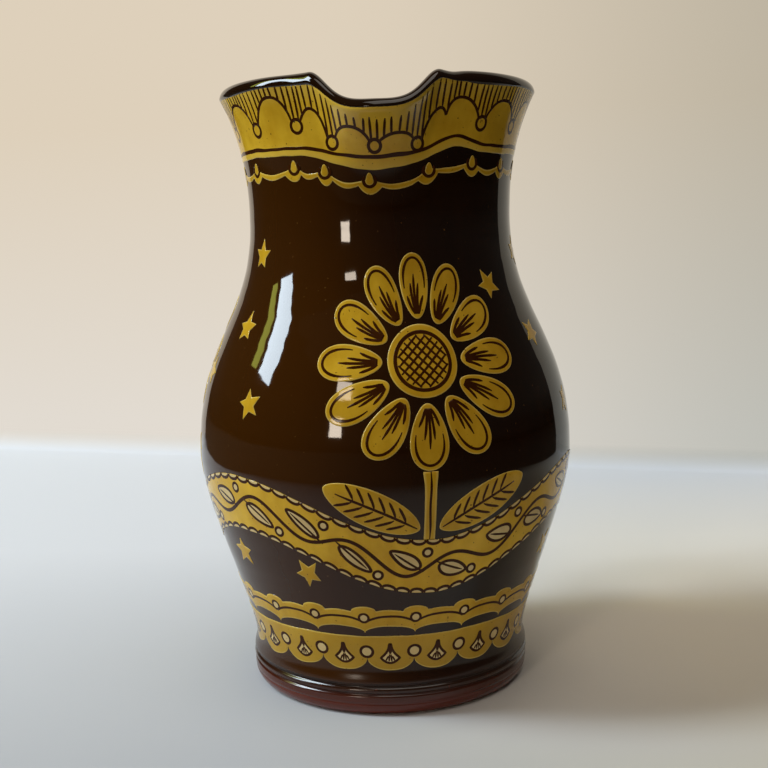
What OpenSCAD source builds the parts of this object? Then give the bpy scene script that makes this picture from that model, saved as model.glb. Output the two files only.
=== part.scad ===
// Slip-decorated earthenware jug. A thrown body with a pulled lip carries a strap handle luted on at
// the back, a dark slip coat and raised pale slip ornament. Millimetres, +Z up, origin at the middle
// of the resting face. The lip points along -Y and the handle along +Y. Angles round the wall are
// measured from the lip, positive towards +X.

/* [Body] */
// Height from the resting face to the top of the rim
jug_h = 174.5; // [150:0.5:205]
// Radius of the resting face
base_r = 38.5; // [35:0.5:40.5]
// Radius of the foot at its widest
foot_r = 41.8; // [41.2:0.2:44]
// Height at which the foot is widest
foot_z = 4.5; // [3:0.5:5]
// Radius of the waist above the foot
waist_r = 40.6; // [38:0.2:43]
// Height of the waist
waist_z = 14; // [12:0.5:16]
// Radius of the belly
belly_r = 55.3; // [50:0.1:62]
// Height of the belly's widest ring
belly_z = 70; // [66:1:74]
// Radius of the neck
neck_r = 38.1; // [35:0.1:42]
// Height of the collar, from the neck's narrowest ring to the rim
collar_h = 36.5; // [33:0.5:40]
// Radius of the rim, outside
rim_r = 45.2; // [43:0.2:49]
// How late the collar turns outwards
collar_flare = 2.4; // [1.6:0.1:3.2]
// Thickness of the wall
wall_t = 5; // [4:0.25:6.5]
// Thickness of the rolled rim
rim_t = 4.4; // [3.4:0.2:5.4]
// Thickness of the floor
floor_t = 6; // [4:0.5:9]
// Radius between floor and wall, inside
floor_fillet = 10; // [6:0.5:14]

/* [Turned grooves] */
// Number of grooves turned into the foot
groove_count = 2; // [1:1:2]
// Height of the lowest groove
groove_z = 6.4; // [6:0.1:7]
// Distance from groove to groove
groove_pitch = 2.2; // [1.6:0.1:2.6]
// Width of a groove
groove_w = 1; // [0.6:0.1:1.2]
// Depth of a groove
groove_d = 0.5; // [0.2:0.1:0.8]

/* [Pulled lip] */
// How far the lip is pulled forward
lip_pull = 8; // [5:0.5:11]
// How far the lip dips below the rim
lip_dip = 8.3; // [5:0.1:10]
// Half the width of the dip's level middle, in degrees
lip_flat = 7; // [4:1:10]
// Angle at which the dip ends, in degrees
lip_end = 23; // [19:1:30]
// Angle over which the pull fades, in degrees
lip_fade = 16; // [12:1:20]
// How deep the fingers pinch in beside the lip
lip_pinch = 1; // [0:0.2:2]
// Angle of the pinches, in degrees
lip_pinch_at = 31; // [28:1:36]

/* [Handle] */
// Width of the strap
handle_w = 23; // [18:1:28]
// Thickness of the strap
handle_t = 9; // [7:0.5:11]
// Upper root's distance below the rim
handle_top_drop = 17; // [15:1:20]
// Lower root's height above the belly's widest ring
handle_low_up = 13; // [10:1:16]
// How far the strap stands out from its roots
handle_reach = 46; // [38:1:54]
// How far the strap rises above its upper root
handle_lift = 20; // [12:1:26]
// Width of the luting clay round each root, beyond the strap
lute_margin = 2.5; // [1.5:0.5:4]
// Thickness of the luting clay
lute_t = 1.2; // [0.9:0.1:2]

/* [Slip and glaze] */
// Thickness of the dark slip coat
coat_t = 0.4; // [0.4:0.1:0.8]
// Height at which the coat starts above the bare foot
coat_z = 10; // [9.6:0.1:11]
// Thickness of the pale slip ornament
slip_t = 0.3; // [0.2:0.1:0.8]
// Thickness of the glaze inside
glaze_t = 0.4; // [0.2:0.1:0.8]
// Clearance between layers
layer_gap = 0.15; // [0.1:0.05:0.25]

/* [Collar ornament] */
// Distance of the collar band's lower edge below the rim
band_drop = 20; // [18:0.5:21]
// How far the collar ornament dips under the lip
band_dip = 4.8; // [3:0.2:6]
// Angle at which that dip ends, in degrees
band_dip_end = 36; // [30:1:42]
// Distance from the collar band to the lace below it
lace_drop = 3.2; // [2.6:0.1:4]
// Width of the lace
lace_w = 2.6; // [1.8:0.1:3]
// Number of lace repeats round the collar
lace_count = 18; // [14:1:22]
// Radius of a bead on the lace
bead_r = 1.2; // [0.8:0.1:1.3]

/* [Belly ornament] */
// Height of the ribbon's middle below the belly's widest ring
ribbon_below = 17; // [16:0.5:18]
// Width of the ribbon
ribbon_w = 16; // [12:0.5:17]
// Height of the ribbon's swags, from the middle
ribbon_swag = 8; // [4:0.5:8.5]
// Number of flowers and swags
flower_count = 3; // [2:1:3]
// Angle of the first flower, in degrees
flower_a = 12; // [6:1:16]
// Height of the flowers above the middle of the dark field between ribbon and lace
flower_up = 1.5; // [-2:0.5:3]
// Radius of a flower, over its petals
flower_r = 28; // [24:0.5:29]
// Radius of a flower's eye
eye_r = 9.4; // [7:0.2:10.4]
// Number of petals
petal_count = 12; // [10:1:14]
// Width of a stem
stem_w = 3; // [2:0.2:4]
// Length of a leaf
leaf_l = 26; // [20:1:27]
// Width of a leaf
leaf_w = 10; // [7:0.5:11]
// Gap between a leaf and its stem
leaf_gap = 1; // [0.6:0.1:1.6]
// Height of a leaf's foot above the ribbon
leaf_foot = 3; // [2:0.2:4]
// Radius of a star, over its points
star_r = 4; // [3:0.2:4.4]

/* [Foot ornament] */
// Number of scallops round the foot
scallop_count = 20; // [16:1:24]
// Height of the foot band's upper edge
foot_band_z = 24.1; // [23.5:0.1:26]
// Height of the foot band, to the tips of its scallops
foot_band_h = 10.8; // [9:0.1:11.4]
// Depth of the scallops
scallop_d = 3.8; // [3:0.2:5]
// Dark gap between the foot band and the edging above it
edging_gap = 0.9; // [0.6:0.1:1.4]
// Height of the edging, to its bumps
edging_h = 8.5; // [7.5:0.1:9.8]
// Rise of the edging's arches
arch_rise = 2; // [1.4:0.2:3.2]
// Height of the bumps on the edging
bump_h = 1.4; // [0.8:0.1:2]

/* [Hidden] */
$fn = 96;

clay_colour = [0.45, 0.16, 0.09];
coat_colour = [0.10, 0.05, 0.03];
slip_colour = [0.72, 0.54, 0.14];
glaze_colour = [0.30, 0.12, 0.05];

// Fullness of the outline's stretches: how far each end keeps upright, as a share of the stretch
waist_upright = 0.15;
belly_upright_below = 0.26;
belly_upright_above = 0.48;
neck_upright = 0.42;
// Growth of the pull from the neck up to the rim
lip_grow = 2.2;
lip_pinch_fade = 9;
// Depth and inset of the tenon by which the collar's ring runs into the thrown wall
tenon_h = 2;
tenon_in = 0.12;

// Angles of the collar's sections: close together at the lip, wider elsewhere
fine_end = 45;
fine_step = 3.75;
wide_step = 7.5;
ring_angles = concat(
    [for (a = [-180 : wide_step : -fine_end - 0.1]) a],
    [for (a = [-fine_end : fine_step : fine_end - 0.1]) a],
    [for (a = [fine_end : wide_step : 180 - 0.1]) a]);

// Heights worked out from the driving dimensions
neck_z = jug_h - collar_h;
band_z = jug_h - band_drop;
lace_z = band_z - lace_drop;
lace_scallop = 0.9;
ribbon_z = belly_z - ribbon_below;
handle_top_z = jug_h - handle_top_drop;
handle_low_z = belly_z + handle_low_up;
edging_z = foot_band_z + edging_gap;

// A smooth step from 0 to 1 as x goes from 0 to 1
function ease(x) = let(t = min(1, max(0, x))) (1 - cos(180 * t)) / 2;

// A cubic curve from [r0, z0] to [r1, z1] that is upright at both ends, as n points after the first
function upright(r0, z0, r1, z1, k0, k1, n) = [for (i = [1 : n]) let(t = i / n, q = 1 - t)
    [q * q * q * r0 + 3 * q * q * t * r0 + 3 * q * t * t * r1 + t * t * t * r1,
     q * q * q * z0 + 3 * q * q * t * (z0 + k0 * (z1 - z0))
         + 3 * q * t * t * (z1 - k1 * (z1 - z0)) + t * t * t * z1]];

// Outline of the thrown wall, outside, from the resting face up to the neck, as [r, z]
groove_top = groove_z + (groove_count - 1) * groove_pitch + groove_w / 2;
foot_outline = [for (i = [0 : 5]) let(t = 18 * i)
    [base_r + (foot_r - base_r) * sin(t), foot_z * (1 - cos(t))]];
groove_outline = [for (i = [0 : groove_count - 1], k = [-1 : 1])
    [foot_r - (k == 0 ? groove_d : 0), groove_z + i * groove_pitch + k * groove_w / 2]];
smooth_outline = concat(
    [[foot_r, groove_top]],
    upright(foot_r, groove_top, waist_r, waist_z, 0.4, 0.4, 4),
    upright(waist_r, waist_z, belly_r, belly_z, waist_upright, belly_upright_below, 12),
    upright(belly_r, belly_z, neck_r, neck_z, belly_upright_above, neck_upright, 16));
wall_outline = concat(foot_outline, groove_outline,
    [for (i = [1 : len(smooth_outline) - 1]) smooth_outline[i]]);
radius_table = [for (p = smooth_outline) [p[1], p[0]]];

// Collar above the neck, at angle a and share s of the way up to the rim's roll
function lip_level(a) = 1 - ease((abs(a) - lip_flat) / (lip_end - lip_flat));
function lip_push(a) = lip_pull * exp(-pow(a / lip_fade, 2))
    - lip_pinch * exp(-pow((abs(a) - lip_pinch_at) / lip_pinch_fade, 2));
function edge_z(a) = jug_h - rim_t / 2 - lip_dip * lip_level(a);
function collar_z(a, s) = neck_z + s * (edge_z(a) - neck_z);
function collar_r(a, s) = neck_r + (rim_r - neck_r) * pow(s, collar_flare)
    + lip_push(a) * pow(s, lip_grow);
function collar_t(s) = wall_t + (rim_t - wall_t) * s;
function share_at(a, z) = min(1, max(0, (z - neck_z) / (edge_z(a) - neck_z)));

// Radius of the clay's outside at any angle and height, and a point off it by d
function wall_r(a, z) = z <= neck_z ? lookup(z, radius_table) : collar_r(a, share_at(a, z));
function at(a, r, z) = [r * sin(a), -r * cos(a), z];
function on_wall(p, d) = at(p[0], wall_r(p[0], p[1]) + d, p[1]);
// Place on the wall of a flat drawing's point [u, v], in millimetres from [a, z]
function drawn(a, z, uv) = [a + uv[0] / wall_r(a, z) * 180 / PI, z + uv[1]];

// Height by which the collar ornament follows the lip's dip
function ornament_dip(a) = band_dip * (1 - ease(abs(a) / band_dip_end));

// A closed skin over a row of sections, each with as many points; ring joins the last to the first
module sweep(sections, ring = false) {
    n = len(sections);
    m = len(sections[0]);
    sides = [for (i = [0 : n - (ring ? 1 : 2)], j = [0 : m - 1])
        let(k = (i + 1) % n, l = (j + 1) % m)
        each [[i * m + j, k * m + l, k * m + j], [i * m + j, i * m + l, k * m + l]]];
    caps = ring ? [] : [for (j = [1 : m - 2])
        each [[0, j + 1, j], [(n - 1) * m, (n - 1) * m + j, (n - 1) * m + j + 1]]];
    polyhedron([for (s = sections) each s], concat(sides, caps), convexity = 10);
}

// A layer on the wall: rows of [a, z], each laid from d0 to d1 off the clay
module layer(rows, d0, d1, ring = false)
    sweep([for (row = rows) concat(
        [for (p = row) on_wall(p, d1)],
        [for (i = [len(row) - 1 : -1 : 0]) on_wall(row[i], d0)])], ring);

// A patch of slip on the coat: an outline of [u, v] drawn round [a, z], with rings of points inside
module patch(a, z, outline, rings = 2) {
    n = len(outline);
    d0 = coat_t + layer_gap;
    skin = function(d) concat(
        [on_wall(drawn(a, z, centre_of(outline)), d)],
        [for (k = [1 : rings], p = outline)
            on_wall(drawn(a, z, centre_of(outline) * (1 - k / rings) + p * (k / rings)), d)]);
    size = 1 + rings * n;
    face = function(base, flip) [for (j = [0 : n - 1]) let(l = (j + 1) % n)
        each concat([turn([base, base + 1 + l, base + 1 + j], flip)],
            [for (k = [0 : rings - 2]) let(p = base + 1 + k * n, q = p + n)
                each [turn([p + j, p + l, q + l], flip), turn([p + j, q + l, q + j], flip)]])];
    rim = 1 + (rings - 1) * n;
    edge = [for (j = [0 : n - 1]) let(l = (j + 1) % n)
        each [[rim + j, rim + l, size + rim + l], [rim + j, size + rim + l, size + rim + j]]];
    polyhedron(concat(skin(d0 + slip_t), skin(d0)),
        concat(face(0, false), face(size, true), edge), convexity = 6);
}
function turn(f, flip) = flip ? [f[0], f[2], f[1]] : f;
function centre_of(points) = [for (k = [0, 1]) sum([for (p = points) p[k]]) / len(points)];
function sum(v, i = 0) = i < len(v) ? v[i] + sum(v, i + 1) : 0;

// A solid of revolution under the clay's outside, grown by d, over the back of the jug
module grown_wall(d)
    rotate_extrude() polygon(concat([[0, 0]],
        [for (p = smooth_outline) [p[0] + d, p[1]]],
        [for (s = [0.1 : 0.1 : 1]) [collar_r(180, s) + d, collar_z(180, s)]],
        [[0, collar_z(180, 1)]]));

// Footprint of a handle root, as a rounded block that runs out along +Y
module root_block(z, half_h, grow = 0) {
    r = half_h + grow;
    across = max(0, (handle_w + 2 * lute_margin) / 2 - half_h);
    translate([0, 0, z]) rotate([-90, 0, 0]) linear_extrude(handle_reach + belly_r) {
        for (side = [-1, 1]) translate([side * across, 0]) circle(r);
        translate([-across, -r]) square([2 * across, 2 * r]);
    }
}
upper_half = handle_t / 2 + lute_margin;
lower_half = handle_t / 2 + 2 * lute_margin;
module root_blocks(grow = 0) {
    root_block(handle_top_z, upper_half, grow);
    root_block(handle_low_z, lower_half, grow);
}

// Body: the thrown wall as a solid of revolution, with the collar and its pulled lip above the neck
module thrown_body() color(clay_colour) union() {
    inner_r0 = waist_r - wall_t;
    fillet = [for (i = [0 : 6]) let(t = 15 * i)
        [inner_r0 - floor_fillet * (1 - sin(t)), floor_t + floor_fillet * (1 - cos(t))]];
    inside = [for (p = smooth_outline) if (p[1] > floor_t + floor_fillet + 1) [p[0] - wall_t, p[1]]];
    rotate_extrude() polygon(concat([[0, 0]], wall_outline,
        [for (i = [len(inside) - 1 : -1 : 0]) inside[i]],
        [for (i = [len(fillet) - 1 : -1 : 0]) fillet[i]], [[0, floor_t]]));
    sweep([for (a = ring_angles) collar_section(a)], ring = true);
}
// One section of the collar: up the outside, over the rim's roll, down the inside, round the tenon
function collar_section(a) = let(roll = rim_t / 2, mid = wall_t / 4) concat(
    [at(a, neck_r - mid, neck_z - tenon_h), at(a, neck_r - tenon_in, neck_z)],
    [for (s = [1 : 6]) at(a, collar_r(a, s / 6), collar_z(a, s / 6))],
    [for (k = [1 : 3]) at(a, collar_r(a, 1) - roll + roll * cos(45 * k), edge_z(a) + roll * sin(45 * k))],
    [for (s = [5 : -1 : 1]) at(a, collar_r(a, s / 5) - collar_t(s / 5), collar_z(a, s / 5))],
    [at(a, neck_r - wall_t + tenon_in, neck_z), at(a, neck_r - wall_t + mid, neck_z - tenon_h)]);

// Handle: a pulled strap that swells at its roots, cut to the wall behind its luting clay
module handle() color(coat_colour) difference() {
    sweep([for (i = [0 : 26]) handle_section(i / 26)]);
    grown_wall(lute_t);
}
function handle_path(t) = let(q = 1 - t, sunk = 1,
    p0 = [collar_r(180, share_at(180, handle_top_z)) - sunk, handle_top_z],
    p3 = [wall_r(180, handle_low_z) - sunk, handle_low_z],
    p1 = p0 + [handle_reach * 0.9, handle_lift],
    p2 = p3 + [handle_reach, handle_lift / 2])
    q * q * q * p0 + 3 * q * q * t * p1 + 3 * q * t * t * p2 + t * t * t * p3;
function handle_section(t) = let(
    step = 0.01,
    along = handle_path(t + step) - handle_path(t - step),
    up = [-along[1], along[0]] / norm(along),
    swell = 1 + 0.16 * exp(-pow(t / 0.08, 2)) + 0.1 * exp(-pow((1 - t) / 0.08, 2)),
    taper = 1 - 0.22 * t,
    mid = handle_path(t))
    [for (k = [0 : 13]) let(
        b = 360 * k / 14,
        u = handle_w / 2 * taper * swell * sign(cos(b)) * pow(abs(cos(b)), 0.8),
        v = handle_t / 2 * taper * swell * sign(sin(b)) * pow(abs(sin(b)), 0.8))
        [u, mid[0] + v * up[0], mid[1] + v * up[1]]];

// Luting clay: the pads that join the handle to the wall
module lute(z, half_h) color(coat_colour) intersection() {
    root_block(z, half_h);
    difference() {
        grown_wall(lute_t);
        grown_wall(0);
    }
}
module upper_lute() lute(handle_top_z, upper_half);
module lower_lute() lute(handle_low_z, lower_half);

// Dark slip: the coat over the wall, left open at the handle's roots
module dark_slip_coat() color(coat_colour) difference() {
    union() {
        rotate_extrude() polygon(concat(
            [for (p = coated_outline) [p[0] + coat_t, p[1]]],
            [for (i = [len(coated_outline) - 1 : -1 : 0]) coated_outline[i]]));
        sweep([for (a = ring_angles) coat_section(a)], ring = true);
    }
    root_blocks(layer_gap);
}
coated_outline = concat([[lookup(coat_z, radius_table), coat_z]],
    [for (p = smooth_outline) if (p[1] > coat_z + 0.5) p]);
function band_edge(a) = band_z - ornament_dip(a);
function coat_section(a) = let(top = band_edge(a) - layer_gap, sunk = coat_t / 4) concat(
    [at(a, neck_r + coat_t - sunk, neck_z - tenon_h)],
    [at(a, neck_r + coat_t - tenon_in, neck_z)],
    [for (s = [1 : 5]) on_wall([a, neck_z + (top - neck_z) * s / 5], coat_t)],
    [for (s = [5 : -1 : 1]) on_wall([a, neck_z + (top - neck_z) * s / 5], layer_gap)],
    [at(a, neck_r + tenon_in, neck_z), at(a, neck_r + sunk, neck_z - tenon_h)]);

// Dark slip over the rim's roll and down the inside of the collar
module rim_slip_edge() color(coat_colour) sweep([for (a = ring_angles) rim_section(a)], ring = true);
function rim_skin(a, d) = let(roll = rim_t / 2) concat(
    [for (k = [0 : 3]) at(a, collar_r(a, 1) - roll + (roll + d) * cos(45 * k),
        edge_z(a) + (roll + d) * sin(45 * k))],
    [for (s = [5 : -1 : 0]) at(a, collar_r(a, s / 5) - collar_t(s / 5) - d, collar_z(a, s / 5))]);
function rim_section(a) = let(outer = rim_skin(a, layer_gap + coat_t), inner = rim_skin(a, layer_gap))
    concat(outer, [for (i = [len(inner) - 1 : -1 : 0]) inner[i]]);

// Glaze inside, from the floor up to the neck
module inner_glaze() color(glaze_colour) rotate_extrude() {
    inner_r0 = waist_r - wall_t;
    fillet = [for (i = [0 : 6]) let(t = 15 * i)
        [inner_r0 - floor_fillet * (1 - sin(t)), floor_t + floor_fillet * (1 - cos(t))]];
    inside = [for (p = smooth_outline) if (p[1] > floor_t + floor_fillet + 1 && p[1] < neck_z - 1)
        [p[0] - wall_t, p[1]]];
    clay_side = concat([[0, floor_t]], fillet, inside, [[neck_r - wall_t, neck_z - layer_gap]]);
    polygon(concat(clay_side,
        [for (i = [len(clay_side) - 1 : -1 : 0]) let(p = clay_side[i])
            i < 2 ? [p[0], p[1] + glaze_t] : [p[0] - glaze_t, max(p[1], floor_t + glaze_t)]]));
}

// Pale slip: the broad band on the collar
module collar_band() color(slip_colour) difference() {
    layer([for (a = ring_angles) [for (s = [0 : 4]) [a, band_edge(a) + (edge_z(a) - band_edge(a)) * s / 4]]],
        layer_gap, layer_gap + slip_t, ring = true);
    root_blocks(layer_gap);
}

// Pale slip: the scalloped lace below the band, and the beads that hang on it
lace_steps = 8;
function lace_edge(a) = lace_z - ornament_dip(a);
function lace_wave(i) = abs(cos(360 * i / lace_steps)) * lace_scallop;
function lace_low(a) = lace_edge(a) - lace_w - lace_scallop;
module collar_lace() color(slip_colour) difference() {
    layer([for (i = [0 : lace_count * lace_steps - 1]) let(a = 360 * i / (lace_count * lace_steps) - 180)
        [[a, lace_edge(a) - lace_w - lace_wave(i)], [a, lace_edge(a) - lace_wave(i + lace_steps / 4)]]],
        coat_t + layer_gap, coat_t + layer_gap + slip_t, ring = true);
    root_blocks(layer_gap);
}
// Beads hang wherever the handle's root leaves room for them
bead_clear = handle_w / 2 + lute_margin + 2 * bead_r;
module collar_beads() color(slip_colour) for (i = [0 : lace_count - 1]) {
    a = 360 * i / lace_count - 180;
    z = lace_edge(a) + bead_r + layer_gap;
    if (cos(a) > 0 || abs(wall_r(a, z) * sin(a)) > bead_clear)
        patch(a, z, [for (k = [0 : 7]) bead_r * [cos(45 * k), sin(45 * k)]], 1);
}

// Pale slip: the ribbon that swags round the belly, lowest under each flower
function ribbon_mid(a) = ribbon_z - ribbon_swag * cos(flower_count * (a - flower_a));
function ribbon_top(a) = ribbon_mid(a) + ribbon_w / 2;
function ribbon_low(a) = ribbon_mid(a) - ribbon_w / 2;
module ribbon_band() color(slip_colour)
    layer([for (a = [-180 : 5 : 175]) [for (s = [-1.5 : 1 : 1.5]) [a, ribbon_mid(a) + ribbon_w * s / 3]]],
        coat_t + layer_gap, coat_t + layer_gap + slip_t, ring = true);

// Pale slip: flowers, each with its eye, a ring of petals, a stem and two leaves
module each_flower() for (i = [0 : flower_count - 1]) {
    $flower_a = flower_a + 360 / flower_count * i;
    children();
}
function swung(p, b) = [p[0] * cos(b) - p[1] * sin(b), p[0] * sin(b) + p[1] * cos(b)];
flower_z = (ribbon_top(flower_a) + lace_low(flower_a)) / 2 + flower_up;
eye_gap = 1.2;
petal_in = eye_r + eye_gap;
petal_l = flower_r - petal_in;
petal_w = 2 * (petal_in + petal_l * 0.55) * sin(180 / petal_count) - eye_gap;
module flower_petals() color(slip_colour) each_flower()
    for (k = [0 : petal_count - 1])
        patch($flower_a, flower_z, [for (j = [0 : 11]) let(b = 30 * j)
            swung([petal_in + petal_l / 2 + petal_l / 2 * cos(b), petal_w / 2 * sin(b) * (1 + 0.25 * cos(b))],
                360 * k / petal_count)]);
module flower_eyes() color(slip_colour) each_flower()
    patch($flower_a, flower_z, [for (j = [0 : 15]) eye_r * [cos(22.5 * j), sin(22.5 * j)]]);
stem_top = flower_z - flower_r - layer_gap;
stem_l = stem_top - ribbon_top(flower_a) - layer_gap;
stem_steps = 9;
module flower_stems() color(slip_colour) each_flower()
    layer([for (i = [0 : stem_steps]) let(z = stem_top - stem_l * i / stem_steps)
        [for (side = [-1, 1]) drawn($flower_a, z, [side * stem_w / 2, 0])]],
        coat_t + layer_gap, coat_t + layer_gap + slip_t);
// Leaves rise between the ribbon's swag and the petals
leaf_span = leaf_l / belly_r * 52;
swag_rise = ribbon_top(flower_a + leaf_span) - ribbon_top(flower_a);
leaf_rise = atan((swag_rise + 0.44 * stem_l) / leaf_l);
module flower_leaves() color(slip_colour) each_flower() for (side = [-1, 1]) {
    foot = [side * (stem_w / 2 + leaf_gap), ribbon_top($flower_a) + leaf_foot - flower_z];
    patch($flower_a, flower_z, [for (j = [0 : 13]) let(b = side * 360 * j / 14,
        p = swung([leaf_l / 2 + leaf_l / 2 * cos(b), leaf_w / 2 * sin(b)], leaf_rise))
        [foot[0] + side * p[0], foot[1] + p[1]] ]);
}

// Pale slip: stars strewn over the dark ground, as [angle, share of the way up the dark field], above
// the ribbon and below it
stars_above = [[-57, 0.75], [-55, 0.50], [-43, 0.25], [45, 0.66], [73, 0.20], [-74, 0.38], [76, 0.74],
    [62, 0.46], [92, 0.16], [-80, 0.14], [-146, 0.40], [-162, 0.76], [162, 0.72]];
stars_below = [[-54, 0.62], [-26, 0.62], [66, 0.5], [100, 0.55], [172, 0.55]];
module star(a, z) patch(a, z, [for (k = [0 : 9]) let(r = k % 2 == 0 ? star_r : star_r * 0.45)
    r * [cos(36 * k + a), sin(36 * k + a)]], 1);
module stars() color(slip_colour) {
    for (p = stars_above) star(p[0], ribbon_top(p[0]) + p[1] * (lace_low(p[0]) - ribbon_top(p[0])));
    for (p = stars_below) star(p[0], edging_top + p[1] * (ribbon_low(p[0]) - edging_top));
}

// Pale slip: the arched edging above the foot band, and the band with its scallops
foot_steps = 8;
foot_turns = [for (i = [0 : scallop_count * foot_steps - 1]) i];
function foot_angle(i) = 360 * (i / foot_steps + 0.5) / scallop_count;
function arch(i) = let(x = i % foot_steps / foot_steps) sqrt(max(0, 1 - pow(2 * x - 1, 2)));
edging_top = edging_z + edging_h;
function bump(i) = pow(abs(cos(180 * i / foot_steps)), 6);
module foot_edging() color(slip_colour)
    layer([for (i = foot_turns) let(a = foot_angle(i))
        [[a, edging_z + arch_rise * arch(i)], [a, edging_top - bump_h * (1 - bump(i))]]],
        coat_t + layer_gap, coat_t + layer_gap + slip_t, ring = true);
module foot_band() color(slip_colour)
    layer([for (i = foot_turns) let(a = foot_angle(i), low = foot_band_z - foot_band_h + scallop_d)
        [[a, low - scallop_d * arch(i)], [a, low], [a, foot_band_z]]],
        coat_t + layer_gap, coat_t + layer_gap + slip_t, ring = true);

thrown_body();
handle();
upper_lute();
lower_lute();
dark_slip_coat();
rim_slip_edge();
inner_glaze();
collar_band();
collar_lace();
collar_beads();
ribbon_band();
flower_petals();
flower_eyes();
flower_stems();
flower_leaves();
stars();
foot_edging();
foot_band();
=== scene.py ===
"""Looks of a slipware jug: thrown clay, slip layers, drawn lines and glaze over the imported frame."""
import math

import bpy
import numpy as np
from mathutils import Matrix, Vector


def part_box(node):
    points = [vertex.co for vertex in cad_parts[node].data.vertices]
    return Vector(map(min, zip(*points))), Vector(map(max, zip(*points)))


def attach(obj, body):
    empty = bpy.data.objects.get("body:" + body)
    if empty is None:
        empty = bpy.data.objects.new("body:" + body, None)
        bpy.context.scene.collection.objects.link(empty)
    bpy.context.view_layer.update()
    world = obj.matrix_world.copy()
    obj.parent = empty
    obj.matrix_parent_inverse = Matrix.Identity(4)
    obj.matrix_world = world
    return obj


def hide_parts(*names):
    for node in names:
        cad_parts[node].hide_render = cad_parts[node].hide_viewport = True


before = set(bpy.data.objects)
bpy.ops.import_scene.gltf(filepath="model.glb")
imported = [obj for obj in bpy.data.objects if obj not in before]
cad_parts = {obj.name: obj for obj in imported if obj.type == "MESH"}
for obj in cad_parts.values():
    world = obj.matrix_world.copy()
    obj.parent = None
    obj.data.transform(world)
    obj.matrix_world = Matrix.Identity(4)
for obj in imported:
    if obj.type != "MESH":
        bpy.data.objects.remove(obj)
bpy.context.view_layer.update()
MM = 0.001


def heights(node):
    """Lowest and highest level of a CAD node, in millimetres."""
    return [corner.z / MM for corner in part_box(node)]


# Driving sizes in millimetres, read from the frame
BODY_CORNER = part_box("thrown_body")[1]
BELLY_R, JUG_H = BODY_CORNER.x / MM, BODY_CORNER.z / MM
BAND_LO = heights("collar_band")[0]
LACE_HI = heights("collar_lace")[1]
RIBBON_LO, RIBBON_HI = heights("ribbon_band")
PETALS_LO, PETALS_HI = heights("flower_petals")
EYES_LO, EYES_HI = heights("flower_eyes")
EDGING_LO, EDGING_HI = heights("foot_edging")
FOOT_BAND_LO, FOOT_BAND_HI = heights("foot_band")
HANDLE_TOP_Z = sum(heights("upper_lute")) / 2
HANDLE_LOW_Z = sum(heights("lower_lute")) / 2

# Thrown wall, as radius and height of the clay
BASE_R = 38.5
FOOT_R, FOOT_Z = 41.8, 4.5
GROOVES_Z, GROOVE_W, GROOVE_D = (6.4, 8.6), 1.0, 0.5
WAIST_R, WAIST_Z = 40.6, 14.0
BELLY_Z = 70.0
COLLAR_H = 36.5
NECK_R, NECK_Z = 38.1, JUG_H - COLLAR_H
WALL_T, FLOOR_T, FLOOR_FILLET = 5.0, 6.0, 10.0
RIM_R, RIM_T = 45.2, 4.4
ROLL = RIM_T / 2
# Share of the roll's height up to which slip on the collar follows its round
ROLL_REACH = 0.97
# Shares of its rise for which each curve of the wall stays upright, at its lower and its upper end
FOOT_HOLD, BELLY_HOLD, SHOULDER_HOLD = (0.4, 0.4), (0.15, 0.26), (0.48, 0.42)

# Throwing ripple: a coarse and a fine spiral, an oval, and the levels and widths of its fades
SPIRAL_D, SPIRAL_PITCH = 0.024, 9.5
FINE_D, FINE_PITCH, FINE_PHASE = 0.006, 4.1, 1.0
OVAL_D, OVAL_PHASE = 0.12, 0.9
RIPPLE_IN, RIPPLE_OUT = (8.0, 14.0), (NECK_Z - 10, 26.0)

# Pulled lip: reach, dip and the angles, in degrees from its middle, over which it fades
LIP_PULL, LIP_DIP, LIP_FADE = 8.0, 8.3, 16.0
LIP_TURN, LIP_END, LIP_ROUND = -0.8, 22.8, 1.6
LIP_PINCH, PINCH_AT, PINCH_FADE = 1.0, 31.0, 9.0
RIM_SAG, SAG_AT, SAG_FADE = 0.5, 27.0, 5.0
COLLAR_FLARE, LIP_GROW = 2.4, 2.2

# Slip layers: coat on the clay, pale slip on the coat, fills and drawn lines on the slip, and sunk backs
COAT_T = 0.4
COAT_Z = 9.2
SLIP_T = 0.12
FILL_T = 0.014
LINE_T = 0.022
SINK = 0.12
# Rounded shoulder of a slip edge: way in from the edge, share of the height and how thin it looks there
SHOULDER = np.array([0, 0.07, 0.2, 0.5])
SHOULDER_RISE = np.array([0, 0.5, 0.88, 1])
SHOULDER_EDGE = np.array([1, 1, 0.6, 0])


# Curves

def ease(x, start=0, width=1):
    """Smooth step from 0 at start to 1 a width further on: half a cosine wave, held at both ends."""
    return (1 - np.cos(np.pi * np.clip((x - start) / width, 0, 1))) / 2


def bell(x, at=0, width=1):
    """Bell curve of height 1 round a place: the exponential of minus the square of the way from it."""
    return np.exp(-np.square((x - at) / width))


def bow(x, power=2, root=0.5):
    """Bow of height 1 over x from 0 to 1: one less a power of the way from the middle, raised to a root.
    Power 2 and root 0.5 give half an ellipse."""
    return (1 - np.abs(2 * x - 1) ** power) ** root


def cubic(t):
    """Weights of the four points of a cubic curve at the shares t of its length."""
    q = 1 - t
    return np.stack([q ** 3, 3 * q * q * t, 3 * q * t * t, t ** 3], -1)


def upright(r0, z0, r1, z1, hold, n=240):
    """Cubic curve from (r0, z0) to (r1, z1), upright at both ends for the shares of its rise in hold."""
    dz = z1 - z0
    cage = [[z0, r0], [z0 + hold[0] * dz, r0], [z1 - hold[1] * dz, r1], [z1, r1]]
    return cubic(np.linspace(0, 1, n)) @ np.array(cage)


def round_jug(count):
    """Even angles once round the jug, in degrees from the lip."""
    return np.linspace(-180, 180, count, endpoint=False)


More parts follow.
